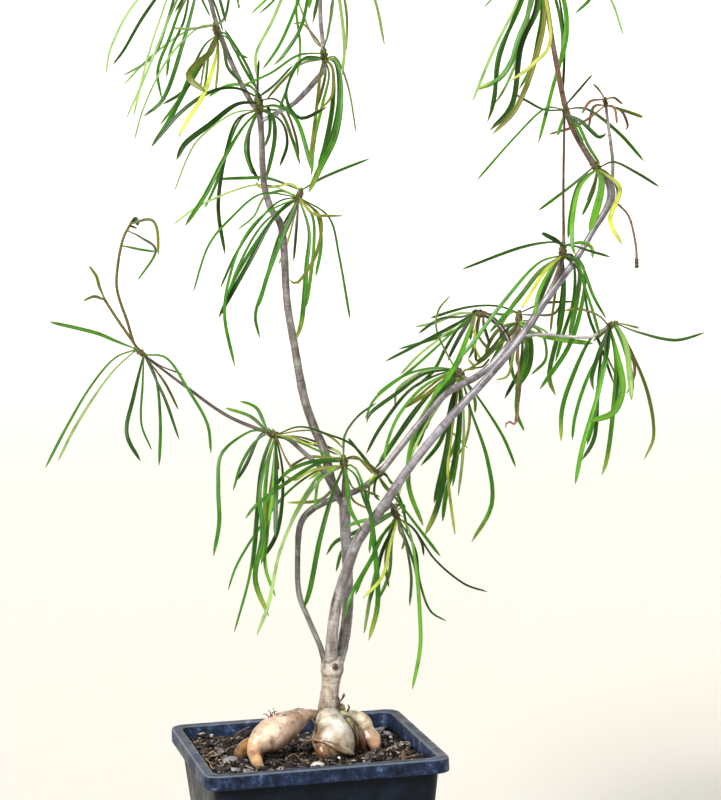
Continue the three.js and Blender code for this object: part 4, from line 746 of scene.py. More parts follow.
# A round scar faces the eye on the trunk's knuckle, where a lower branch was shed.
SCAR = [[11.6, 122.7, -2.6, 1.5], [11.7, 122.75, -3.9, 1.45], [11.8, 122.8, -4.5, 1.1],
        [11.85, 122.8, -4.75, 0.5]]
SCAR_COLOURS = ("9c9088", "a39890", "5d4a3e", "2b1f18")
SCAR_SIDES = 20
path, radii, shares = row_stations(SCAR, 0.25)
parts.append(strand(path, radii, SCAR_SIDES))
tints.append(np.repeat([skin_between(SCAR_COLOURS, share) for share in shares], SCAR_SIDES, axis=0))
grains.append(np.concatenate([[(share * 2, math.cos(t), math.sin(t)) for t in np.linspace(0, 6, SCAR_SIDES)]
                              for share in shares]))
places, faces = joined(parts)

# The bark is a thin waxy skin, silver where it is polished and brown where it has split. Its fine
# rings run round the wood and its streaks along it, both laid out in millimetres of the branch.
RING = 0.7
STREAK = 2.8
bark, tree, shader = new_material("smooth silvery bark", IOR=1.46, Coat_Weight=0.3, Coat_Roughness=0.25)
skin = add(tree, "ShaderNodeAttribute", attribute_name="skin")
grain = add(tree, "ShaderNodeAttribute", attribute_name="grain")
across_it = add(tree, "ShaderNodeMapping", {"Vector": grain.outputs["Vector"],
                                            "Scale": (1 / RING, 0.12, 0.12)})
rings = add(tree, "ShaderNodeTexNoise", {"Vector": across_it.outputs["Vector"], "Scale": 1.0, "Detail": 4.0,
                                         "Roughness": 0.6, "Distortion": 0.5})
along_it = add(tree, "ShaderNodeMapping", {"Vector": grain.outputs["Vector"],
                                           "Scale": (0.12, 1 / STREAK, 1 / STREAK)})
streaks = add(tree, "ShaderNodeTexNoise", {"Vector": along_it.outputs["Vector"], "Scale": 1.0, "Detail": 3.0,
                                           "Roughness": 0.45, "Distortion": 1.2})
ringed = add(tree, "ShaderNodeValToRGB", {"Fac": rings.outputs["Fac"]},
             stops=[(0.28, "958b84"), (0.38, "d5cfcb"), (0.47, "ffffff"), (0.8, "ffffff")])
streaked = add(tree, "ShaderNodeValToRGB", {"Fac": streaks.outputs["Fac"]},
               stops=[(0.3, "84776e"), (0.44, "ccc5c2"), (0.58, "ffffff"), (0.8, "ffffff")])
mixed = add(tree, "ShaderNodeMix", {0: 1.0, 6: skin.outputs["Color"], 7: ringed.outputs["Color"]},
            data_type="RGBA", blend_type="MULTIPLY")
worn = add(tree, "ShaderNodeMix", {0: 0.9, 6: mixed.outputs[2], 7: streaked.outputs["Color"]},
           data_type="RGBA", blend_type="MULTIPLY")
polish = add(tree, "ShaderNodeValToRGB", {"Fac": streaks.outputs["Fac"]},
             stops=[(0.56, "000000"), (0.72, "606060")])
pale = add(tree, "ShaderNodeMix", {0: polish.outputs["Color"], 6: worn.outputs[2], 7: linear("d2cfd0")},
           data_type="RGBA")
tree.links.new(pale.outputs[2], shader.inputs["Base Color"])
gloss = add(tree, "ShaderNodeMapRange", {"Value": streaks.outputs["Fac"], "To Min": 0.6, "To Max": 0.32})
tree.links.new(gloss.outputs["Result"], shader.inputs["Roughness"])
bump = add(tree, "ShaderNodeBump", {"Height": rings.outputs["Fac"], "Strength": 0.55, "Distance": 0.18 * MM})
tree.links.new(bump.outputs["Normal"], shader.inputs["Normal"])
make_piece("branches", places, faces, [bark], ["caudex_and_branches"], "bark", np.concatenate(tints),
           grains=np.concatenate(grains))
caudex.data.materials.append(bark)
caudex.data.polygons.foreach_set("material_index", [int(all(woods[k] for k in face.vertices))
                                                    for face in caudex.data.polygons])

# Dead wood on the knob of the front branch: a bare grey spur, and a thin brown twig that hangs from
# it with the dark beads of old flower stalks.
SPUR = [[118, 295.5, 0.5, 0.8], [118.6, 306, 1, 0.7], [117.9, 314, 1, 0.7], [117, 322, 0, 0.6],
        [116.4, 328.5, 0, 0.6]]
HANGING_TWIG = [[118, 292.5, 0, 0.6], [120.6, 290.8, -3, 0.5], [124.3, 286, -6, 0.5],
                [126.4, 276, -7, 0.5], [126.6, 267.6, -7, 0.6]]
BEADS = [(0.28, 0.25), (0.55, 0.15), (0.905, 0.5), (0.94, 0.5), (0.98, 0.6)]
BEAD_WIDTH = 0.012
TWIG_SIDES = 10
part, tint, grain = ringed_stem(SPUR, ("8f8b8c", "969190", "857d77"), 14)
make_piece("dead_spur_wood", *part, [bark], ["dead_spur"], "dead_wood", tint, grains=grain)
path, radii, shares = row_stations(HANGING_TWIG, BARK_STEP)
beads = 1 + sum(size * 1.5 * np.exp(-((shares - place) / BEAD_WIDTH) ** 2) for place, size in BEADS)
lumps = [np.full(TWIG_SIDES, 0.85 * bead) for bead in beads]
dark = np.array(linear("150e0c"))
light = np.array(linear("6b4c42"))
tint = np.repeat([light + (dark - light) * min(1, (bead - 1) * 2) for bead in beads], TWIG_SIDES, axis=0)
grain = [(i * BARK_STEP, math.cos(k), math.sin(k)) for i in range(len(path)) for k in range(TWIG_SIDES)]
make_piece("hanging_twig_wood", *strand(path, radii, TWIG_SIDES, lumps), [bark], ["hanging_twig"],
           "dead_wood", tint, grains=grain)

# Leaves. Each whorl springs from a short woody crown: narrow, slightly channelled blades about 5 cm
# by 2 mm that arch out and hang. A row gives the lean in depth, the width as seen, the tone, and
# then how far across and up each point lies, from the crown to the tip.
TUFTS = [
    ["tuft_far_left", [[-54, 240.2, -24.5], [-58.4, 244, -25.5]], 1.3, [
        [1, 1.2, "mid", -65, 246.5, -73, 250, -89.4, 254.4],
        [-1, 1, "mid", -66, 240, -75, 230, -84, 216, -92.8, 200.5],
        [1, 0.9, "pale", -66, 236, -74, 226, -82, 214, -88, 203],
        [-1, 1.6, "dark", -59.3, 226, -62.4, 212.5, -57.7, 201.7],
        [1, 1.3, "mid", -50.9, 232, -50, 216, -51, 200],
        [-1, 1, "dark", -48, 225, -43.2, 209.5],
        [0.7, 1, "olive", -47.9, 230.7, -43.2, 220.6],
        [-1, 1.3, "mid", -46.5, 239.4, -39, 227.3, -32.8, 215.2, -31.7, 204],
        [1, 0.7, "tan", -48.6, 236.7, -41.2, 233.5],
    ]],
    ["shoot_far_left_tall", [[-58.5, 245.5, -25.5], [-60.7, 253.6, -26], [-63.9, 265, -27],
        [-63.4, 274, -28], [-61, 284, -29], [-57.3, 290.6, -29]], 0.55, [
        [-1, 1.3, "olive", -51.3, 290.6, -48.6, 287.2, -48.4, 277.5],
        [1, 1, "mid", -54.6, 284.2, -49.4, 279, -56.2, 268.7],
        [-0.6, 0.9, "mid", -55, 279.8, -49.4, 278.8],
    ]],
    ["shoot_far_left_short", [[-60.35, 248.3, -24.6], [-65.4, 256.3, -22], [-69.3, 263, -21]], 0.55, [
        [-0.6, 0.8, "olive", -72.5, 263, -76.3, 261.6],
        [0.6, 0.8, "olive", -70.4, 266.4, -71.4, 270.4, -73.9, 274.4],
    ]],
    ["tuft_left", [[-6.2, 209.6, -11.6], [-11.6, 211.6, -12.8]], 1.8, [
        [1, 1.2, "mid", -13.7, 219.2, -16.7, 221.7, -20.4, 222.9],
        [-1, 1, "light", -16.7, 217.1, -25.9, 220.6],
        [-1, 1.5, "mid", -17.3, 211.5, -27.7, 203.7, -29.4, 191, -29.5, 178, -32.1, 165.6],
        [1, 1.3, "dark", -13.7, 209.8, -18.6, 200, -22.5, 193.6],
        [1, 1, "mid", -13.7, 198, -16.1, 178.7, -18.9, 158.6, -25.4, 137],
        [-1, 1.9, "mid", -14, 191, -13.7, 173, -17, 156.8, -12.4, 142.4],
        [-1, 1.4, "light", -9.4, 188.5, -13.1, 164, -9.7, 149.8],
        [1, 1.5, "dark", -5.5, 194.5, -7.6, 176.3, -12.5, 166.5, -17.9, 163.8],
        [-1, 1.6, "dark", -8, 192, -9, 172],
        [1, 1.1, "mid", 1.5, 212.8, 11.3, 209.8, 21, 205, 29.7, 193.4],
        [-1, 1, "mid", 1.5, 206.7, 13, 201.2],
        [1, 0.9, "olive", 3, 208.5, 16, 203],
        [-1, 0.8, "tan", -4.5, 202, -1.5, 196.7],
    ]],
    ["tuft_fork", [[17.3, 196.5, -2.5], [17, 201.8, -3]], 1.9, [
        [-1, 1.4, "mid", 7.6, 199, -4.5, 192, -15.5, 184.2, -19.8, 179.3],
        [1, 0.9, "mid", 7.6, 196.4, -4.5, 188, -15.5, 174.5, -23.4, 162.3, -27.1, 152.8],
        [-1, 1.3, "pale", 8.8, 193.3, -0.9, 180.5, -7.6, 166, -12, 148, -17, 135.5],
        [0.5, 1.2, "light", 8.8, 194.5, 6.4, 186, 6.4, 181.5],
        [1, 1.1, "olive", 13.7, 191, 7.6, 185.4, -4.2, 184.8],
        [-1, 1.9, "mid", 13.1, 188.5, 7.6, 171.4, 3.4, 153, 0.8, 145.2],
        [-1, 1.6, "mid", 18, 194.5, 18.9, 182.4, 23, 174],
        [-1, 1.9, "mid", 21.7, 196.5, 26.3, 180.6, 28.1, 158.7, 28, 145, 24.4, 132.2],
        [1, 1.2, "mid", 18, 209.2, 22.9, 216, 29.7, 220.8],
        [-0.7, 1, "olive", 22, 200.8, 28, 194.5],
    ]],
    ["tuft_front_low", [[34.6, 181.4, -2.5], [37, 177, 1]], 1.7, [
        [-1, 1.5, "light", 40.6, 173.3, 42.8, 158.7, 43.7, 141.7, 43.4, 128.3, 40.1, 113.3],
        [1, 1.1, "mid", 42.5, 166, 43.7, 154.5, 47.3, 143, 53.3, 138.7],
        [-1, 0.9, "dark", 38.8, 170.3, 40.9, 156.3, 40, 144.7],
        [1, 0.9, "dark", 42.5, 173.3, 49.8, 161.8, 60.1, 152.6, 68.9, 149.2],
        [0.6, 1.1, "dark", 41.8, 174, 44.9, 168.5, 45.7, 163.5],
        [-1, 1.4, "mid", 32, 173.3, 26, 162.4, 18.7, 150, 15.8, 140.7],
        [1, 1.3, "dark", 34.5, 176.4, 32.7, 168.5, 31.5, 162.4],
        [-1, 1.2, "yellow", 33.6, 168.5, 30.3, 156.3, 22.7, 148.1],
        [1, 1.4, "light", 34, 170, 32.7, 157.5, 28.7, 147.8],
        [1, 1.3, "pale", 30, 165, 25.7, 150, 22.7, 135],
        [1, 1.5, "mid", 29, 177, 21, 173.2, 13.1, 169.6, 9.6, 164.7],
    ]],
    ["tuft_back_low", [[29, 193.4, 9], [31.4, 196.3, 9.3]], 2, [
        [-0.8, 1.2, "mid", 35, 186.7, 43.7, 174.5, 51.9, 163],
        [1, 0.9, "dark", 26, 198.5, 22, 204, 19, 208],
        [-0.5, 1, "olive", 27, 197.5, 24.5, 199.8],
        [-0.6, 0.9, "mid", 26.6, 190.5, 25.8, 184.5],
        [1, 1, "mid", 34, 192, 38, 183, 40, 172],
    ]],
    ["tuft_inner", [[3.2, 296, 8.6], [5, 300.5, 7.6]], 1.6, [
        [-1, 1.1, "mid", 12.2, 303.7, 20.4, 307, 29.9, 310.4],
        [1, 1.1, "mid", -6.9, 304.2, -16, 304.7, -26.5, 304.6],
        [1, 0.7, "pale", -6.9, 301.7, -16.7, 301.2, -32.5, 295.2, -42.3, 288.7],
        [-1, 0.8, "mid", -10.1, 298.7, -21.6, 290, -30, 280.2, -36, 263.9],
        [-1, 1.2, "mid", -9.6, 291, -18.8, 279, -24.8, 257.3, -21.8, 235.8],
        [1, 1, "mid", -9.6, 287.8, -18.3, 274.2, -24.3, 260],
        [-1, 1.7, "dark", -5.8, 289.5, -14.5, 275.3, -23.2, 261, -27.1, 254],
        [1, 1.3, "mid", -3.6, 284.6, -10.1, 265.5, -13.7, 254.6, -12.3, 246],
        [1, 1, "dark", 2.4, 286.2, 1, 274],
        [-1, 1.8, "mid", 7, 285, 5.7, 272, 3.5, 253, 1, 245],
        [-1, 1.2, "olive", 11.4, 289.5, 9.5, 276.4, 2.4, 266, -0.9, 267.4],
        [1, 1, "mid", 14.4, 289.5, 17.7, 275.3, 21, 252],
        [-0.7, 1, "yellow", 9, 291, 19.3, 290],
        [0.7, 1, "yellow", -0.6, 282.4, -4.4, 273],
    ]],
    ["tuft_mid_left", [[-9.6, 327.5, 16], [-10, 335.4, 14.6]], 2.3, [
        [-1, 2, "dark", -18, 331.5, -28, 324.5, -37, 318, -40.5, 312],
        [1, 1.5, "dark", -18, 326, -22.5, 314, -25.9, 295, -24, 277],
        [-1, 1.7, "mid", -16, 323, -23.2, 312, -30.3, 299.3, -38.2, 288],
        [1, 1.6, "dark", -13.7, 321, -14, 311, -10.5, 303],
        [-1, 1.6, "dark", -5, 327, -4.5, 318, -8, 304],
        [1, 1.3, "light", -2, 328, 2, 318, 4.5, 309],
        [-1, 1.6, "mid", -3, 330.5, 4, 325, 9, 306.4],
        [1, 1.2, "dark", -2, 325, 0, 317, -3, 308.5],
        [1, 0.9, "mid", -11.5, 340, -15, 348, -21.5, 359],
        [-1, 0.8, "dark", -9.8, 341, -9.2, 347.5],
        [-1, 1, "mid", -4, 338, 3, 345],
        [1, 0.7, "pale", -20, 328, -31.4, 320, -36.3, 313, -41.5, 301],
        [-0.6, 1.6, "dark", -18, 337.4, -27, 336.4, -38, 329.5, -49, 318],
    ]],
    ["tuft_mid_right", [[14.6, 345.5, -8], [14.2, 351.8, -10.4]], 1.7, [
        [-1, 2.2, "mid", 19, 346, 20.3, 335, 18, 320, 11.7, 307.5, 7.3, 298.7],
        [1, 1.9, "mid", 17.5, 343, 17, 330, 14, 316, 11, 308],
        [1, 0.7, "pale", 19, 347, 23, 336, 25.2, 320.5],
        [-0.6, 0.9, "pale", 16.5, 357, 18, 368],
        [-1, 1.4, "olive", 13, 342, 11.5, 331, 8, 309],
        [1, 1, "olive", 14.6, 341, 11.5, 330],
        [-1, 1.3, "dark", 6.5, 347, 0.3, 335, 5, 326, 15, 329.7],
        [1, 1.2, "mid", 5, 346, 0, 335, -3.5, 326],
        [-1, 0.9, "mid", 5, 348.5, -5, 342.5, -16, 338],
        [1, 1.2, "olive", 6, 345.5, -1, 339.5, -7, 333],
        [1, 0.8, "pale", 11, 354, 7.5, 362.5, 5, 370],
    ]],
    ["tuft_upper_left", [[-23.6, 355.5, 20], [-25, 361.5, 20.6]], 1.7, [
        [-1, 1, "pale", -33, 359.3, -40, 359.6],
        [1, 0.8, "pale", -35, 358.5, -48, 350, -58.5, 340],
        [-1, 0.8, "pale", -31, 359.5, -42, 349, -51, 333, -55.5, 320],
        [-1, 1.6, "yellow", -24.5, 350, -29.5, 336, -36.5, 325.5, -39.5, 320],
        [1, 1.1, "yellow", -24, 348, -25.5, 336],
        [-1, 2.4, "olive", -26.5, 351, -33, 345.5, -34.8, 341.5, -29, 336.5],
        [1, 1.8, "mid", -28, 350, -36, 338, -43, 326, -49.5, 317],
        [1, 1.4, "dark", -31, 345, -37, 337, -45, 332.3],
        [-1, 1.3, "dark", -21.8, 352, -20.5, 345, -15.5, 339],
        [1, 1, "mid", -21, 363, -19, 371],
    ]],
    ["tuft_top_left", [[-28.6, 382.5, 24.4], [-29.6, 389.5, 25.6]], 1.7, [
        [-1, 1, "pale", -40, 381, -54, 368.5, -62.5, 354, -65, 344],
        [1, 1.3, "dark", -38, 379.5, -50, 365, -58, 352.5, -62.5, 347],
        [-1, 0.9, "pale", -38, 378, -45, 362, -50, 348, -55.5, 328.5],
        [1, 1.2, "mid", -36, 379, -42, 362.5, -47.5, 350, -58.5, 343.3],
        [-1, 1.6, "mid", -31.5, 371, -37, 353, -44, 335, -52, 328],
        [1, 1.1, "mid", -30, 373, -26.5, 363.5],
        [-0.7, 1, "dark", -33, 375, -39, 365.5],
        [1, 0.8, "tan", -34, 372, -40, 361],
        [-1, 1.2, "dark", -25, 378, -22.5, 369, -20.6, 361],
        [1, 1, "dark", -22, 384, -17, 376, -16, 366],
        [-1, 1.2, "mid", -22, 389, -14, 386, -8, 376],
        [-1, 1.1, "mid", -26, 396, -20, 401, -13, 402],
        [1, 1.1, "mid", -33, 396, -41, 400, -49, 398],
        [-0.8, 1, "mid", -39, 389, -50, 388, -61, 380],
    ]],
    ["tuft_top_middle", [[14.5, 385.5, -19], [15.1, 392.5, -20.8]], 1.6, [
        [-1, 1.4, "mid", 11, 378, 7, 360, 0, 349, -4, 345.3],
        [1, 1.3, "pale", 5, 379, -4, 361, -10, 350, -10.2, 341],
        [-1, 1.2, "dark", 14.5, 376, 11, 361.5],
        [1, 1, "pale", 25, 381, 33, 369, 36.5, 351.5],
        [1, 1, "pale", 18, 380, 18, 366, 15.4, 354],
        [-1, 1.2, "pale", 19.5, 376, 22, 354, 21, 341],
        [1, 1, "light", 5, 384, -3, 372, -11.5, 364],
        [-1, 1, "mid", 7, 385, -2, 370, -8.5, 364],
        [-1, 1.6, "mid", 12, 377, 9.5, 365],
        [1, 1.1, "mid", 21, 397, 29, 399, 37, 394],
        [-1, 1.1, "mid", 12, 399, 7, 404, 0, 403],
        [-1, 1.2, "mid", 22, 390, 32, 386, 40, 376],
        [1, 1, "mid", 7, 393, -1, 393, -8, 387],
    ]],
    ["tuft_top_right", [[92.6, 382.5, -3], [91.6, 389.5, -3]], 1.7, [
        [-1, 2, "dark", 92, 364, 86, 349, 82.5, 329, 74, 319.3],
        [1, 2, "light", 93.5, 366, 86, 351, 79, 339, 69, 334],
        [-1, 1.9, "olive", 95, 362, 91, 344, 84, 327.5, 75, 318],
        [1, 1.5, "mid", 87, 366, 78, 347, 76, 331, 73.2, 322.5],
        [-1, 0.9, "pale", 85, 365, 76, 348, 68, 330],
        [1, 1.1, "pale", 88, 355, 82, 339, 77, 330],
        [-1, 1.2, "yellow", 97, 353, 90.5, 343, 82, 337],
        [1, 1.4, "light", 98.5, 368, 101.3, 350, 97, 333.5, 91.5, 314],
        [-1, 1.1, "mid", 101.5, 368, 103.2, 355, 101, 343.2],
        [1, 0.8, "dark", 99, 372, 101.8, 352, 100.6, 329],
        [1, 1.2, "mid", 104, 380, 112, 368, 106, 360.6],
        [-1, 0.9, "pale", 108, 381, 118.5, 366.5, 123.3, 352.5],
        [1, 0.9, "pale", 84, 375, 73, 364],
        [1, 1.1, "mid", 99, 393, 108, 394, 116, 388],
        [-1, 1.1, "mid", 87, 396, 80, 400, 72, 398],
        [-1, 1.2, "mid", 95, 397, 100, 403, 107, 403],
        [0.8, 1.1, "mid", 84, 389, 74, 387, 66, 379],
    ]],
    ["tuft_inner_right_a", [[71.5, 252, 23.2], [66, 253.4, 24.2]], 1.7, [
        [1, 1.1, "pale", 60, 252.8, 52, 249.8, 45, 248.6],
        [-1, 1.2, "dark", 60, 249, 48, 243, 33.5, 236],
        [1, 1, "mid", 60, 247, 50, 243.5, 38.5, 240.5],
        [-1, 0.9, "mid", 58, 245.5, 44, 233.5, 30, 223, 25.5, 215],
        [1, 1.5, "dark", 62, 246, 58, 239, 56.5, 235.5],
        [-1, 2, "light", 64.5, 246, 59, 233.5, 50, 222],
        [1, 1.1, "dark", 70, 248.5, 72, 241],
        [-0.7, 1, "tan", 66, 248, 65, 243],
        [1, 1.4, "olive", 67.5, 247, 66, 240, 64, 236],
    ]],
    ["tuft_inner_right_b", [[62, 229.8, 15.6], [58.5, 233, 18.6]], 1.9, [
        [-0.6, 0.8, "pale", 53, 246, 53.5, 254, 58, 259.5],
        [1, 1, "pale", 48, 232, 38, 226, 36.5, 219.5],
        [-1, 1.2, "dark", 48, 231, 38, 224.5, 28, 217.5, 26, 213.5],
        [1, 1.2, "dark", 50, 229.5, 41, 224, 31, 211.5, 25.5, 202],
        [0.3, 1.3, "light", 47, 226, 38, 216, 33.5, 206, 32, 199],
        [1, 1, "dark", 50, 224, 40, 211.5, 32, 200.5, 28, 196],
        [-0.5, 1.1, "olive", 50, 224.5, 40, 218.5],
        [0.3, 1.8, "light", 50, 221, 42.5, 206, 40.8, 190, 45.8, 174.5],
        [1, 1.8, "dark", 53, 221, 48, 213, 44.5, 204],
        [1, 1.6, "mid", 57, 218, 53, 206, 45.5, 197],
        [0.4, 2.2, "dark", 57.5, 215, 55, 197, 51, 181, 46.3, 171],
        [1, 1.8, "mid", 60, 214, 58, 199, 54.5, 186, 53, 176],
        [0.2, 0.9, "pale", 61.8, 214, 61, 200, 59, 185.5],
        [1, 1, "yellow", 56, 212, 59, 207.5, 63, 203],
        [0.2, 1, "yellow", 64, 217, 62, 205, 56.5, 198],
        [0.3, 1.1, "yellow", 57, 207, 55.5, 193, 57.5, 171],
        [1, 1.5, "mid", 64.5, 217, 70, 199, 71.3, 182, 63.5, 168],
        [0.3, 1.1, "mid", 69, 219, 76, 207, 80.5, 195.5],
        [0.7, 1.3, "light", 65.7, 222, 66, 216],
        [1, 1, "pale", 48, 212, 41, 198, 36, 183],
    ]],
    ["tuft_inner_right_c", [[82.7, 247.8, 19], [83.2, 253.5, 20.4]], 1.7, [
        [0.5, 0.9, "dark", 75, 255.2, 64, 255, 50.5, 251.5],
        [0.4, 0.9, "dark", 92, 255.6, 103, 256],
        [0.3, 1.8, "mid", 79, 247, 75, 238.5, 71, 231.5],
        [1, 1, "olive", 77, 243, 70, 236, 64, 232.5],
        [-0.5, 1, "dark", 78, 246, 73, 240, 67.5, 235, 66.5, 240],
        [1, 1.4, "olive", 76, 247, 72, 242, 70, 236],
        [1, 1.6, "dark", 85.5, 244, 84, 234, 77, 221],
        [0.4, 2, "mid", 87, 243, 86.5, 233, 82.3, 225.5],
        [1, 0.9, "light", 82.3, 240, 82, 234, 85, 230],
        [0.2, 1.4, "mid", 84, 240, 82, 226, 81.3, 216, 84, 208.5],
        [1, 1.2, "mid", 79.5, 240, 80, 231, 82, 225],
        [0.7, 1.1, "light", 91, 245, 92.5, 235.5, 87, 229.6],
        [-0.6, 1.9, "light", 88, 245, 98, 242.3, 110, 240.4],
        [1, 0.8, "dark", 87.5, 249, 91, 244],
        [0.8, 1.2, "dark", 88, 251.5, 96, 251.8, 99.5, 257.5, 99.5, 263],
        [1, 0.7, "yellow", 80.5, 237, 78.4, 229.6, 74, 228],
        [0.4, 0.8, "tan", 84, 238, 82.4, 222, 80.5, 211.5],
    ]],
    ["tuft_right_mid", [[99.3, 271.5, -8], [100, 278, -8]], 1.9, [
        [1, 1, "dark", 95, 278, 83, 276, 62.5, 269],
        [-0.6, 1.6, "dark", 97, 278.8, 92, 281.5],
        [-1, 0.9, "dark", 104, 276.3, 109, 274.5, 117, 272],
        [-1, 1.4, "mid", 90, 270, 77, 256, 66, 242, 60, 235.5],
        [1, 0.9, "olive", 91, 268, 84, 259.5, 79.5, 254.5],
        [-0.6, 1.2, "yellow", 93, 267.5, 88, 260, 84, 254],
        [1, 1.8, "mid", 95.5, 267, 91, 257.5, 87.5, 249.5],
        [0.8, 1.8, "mid", 100, 262, 98.5, 249, 93.7, 230, 95.8, 221.5],
        [1, 2, "light", 105.5, 268, 104.5, 257, 101.3, 243],
        [0.6, 1.7, "mid", 106.5, 270, 107, 259, 101.5, 240.5, 90, 224],
        [-0.5, 0.9, "dark", 106, 266, 108.5, 251, 113, 238.5, 117.2, 225.5],
        [-0.8, 0.9, "mid", 106, 270, 110.5, 258, 115, 249.5],
        [0.7, 1, "olive", 97, 262, 95, 250, 94.5, 245],
        [-0.6, 1.2, "light", 106.5, 277.5, 110.2, 275.5, 110.4, 271.8],
    ]],
    ["tuft_far_right", [[115, 246, -21.4], [119.4, 248, -22.6]], 1.5, [
        [-1, 1, "mid", 127, 244, 140, 240.8, 151, 243.2],
        [1, 0.8, "pale", 122, 247, 127, 245.5],
        [-1, 2, "pale", 122, 240, 123.2, 229, 123.8, 219],
        [1, 0.9, "tan", 123.8, 236, 125, 229, 122, 221.5],
        [1, 1.1, "olive", 124, 237, 129.8, 221, 131.6, 206, 128, 197],
        [-1, 2.3, "light", 118.7, 236, 120.6, 224, 117, 214.8, 108.3, 211.7],
        [1, 1.7, "light", 118.2, 233, 116.5, 212, 114.3, 198, 112.2, 191.5],
        [1, 1.4, "dark", 113.2, 239, 111.3, 222, 109.8, 206, 105, 197.3],
        [-1, 1.7, "light", 115.3, 237, 111.5, 222, 105.5, 203, 102.3, 188.5],
        [-1, 1.2, "dark", 112, 236.5, 109.4, 228, 109.9, 223],
        [-0.7, 1.4, "mid", 115.3, 238, 113, 230],
        [1, 1.6, "mid", 109, 242, 102, 228, 98, 216, 97.4, 204.5],
        [-0.8, 0.8, "olive", 112, 250.7, 105, 253.2, 99.7, 252.7],
    ]],
    ["tuft_right_upper", [[113.8, 303.4, 1], [110.6, 307.4, 1]], 2, [
        [-1, 1.5, "light", 106.5, 298, 103.6, 287, 103.2, 277, 104.3, 273],
        [1, 1.4, "mid", 111, 296, 107, 287.5],
        [-1, 2, "light", 114.7, 299, 113, 290.5, 109.5, 281],
        [1, 1, "mid", 103, 298.3, 91, 289.8],
        [-1, 1, "dark", 119, 306.5, 127, 302.5, 135.5, 297],
        [-1, 1.6, "yellow", 121, 297, 117.2, 285.5, 121.5, 276.3],
        [1, 1, "dark", 116, 303, 120, 297, 119.5, 291],
    ]],
    ["tuft_right_thin", [[101.3, 323.4, -9.9], [101.6, 328.4, -10.1]], 1.1, [
        [1, 1.2, "mid", 110, 325.8, 121, 317, 130, 306.5],
        [-1, 1.3, "dark", 107, 322, 113.5, 316, 116.5, 317.3],
        [-0.6, 1.2, "mid", 106, 321, 110, 312.5, 114, 306],
        [-1, 0.8, "mid", 94, 326.5, 83, 316.5, 69, 301.5],
        [1, 0.9, "dark", 94, 326.3, 87.5, 329.8, 83, 332.5],
        [-1, 0.9, "dark", 105, 331, 111.8, 338.5],
    ]],
    ["dry_tuft", [[116.6, 326.3, 0], [116.2, 330.4, 0]], 1.1, [
        [-1, 0.8, "tan", 111, 328.8, 107.8, 324.5],
        [1, 0.8, "tan", 112, 326.5, 110, 319],
        [-1, 0.7, "tan", 114, 333, 112, 335],
        [1, 0.7, "tan", 119.5, 329.8, 122.5, 327.5],
        [-1, 0.8, "tan", 119.5, 326, 120.5, 320.5],
        [1, 0.8, "tan", 122, 325, 124.2, 320, 123.5, 318],
        [-0.6, 1.2, "olive", 121.5, 325.7, 130, 322.5],
        [0.6, 0.9, "tan", 110, 322.5, 104, 319.5, 95.5, 317.3],
    ]],
]
LEAF_TONES = {
    "dark": "1e420a", "mid": "346a12", "light": "548b28", "pale": "7c9a60",
    "olive": "5a6120", "yellow": "9eaa48", "tan": "80624a",
}
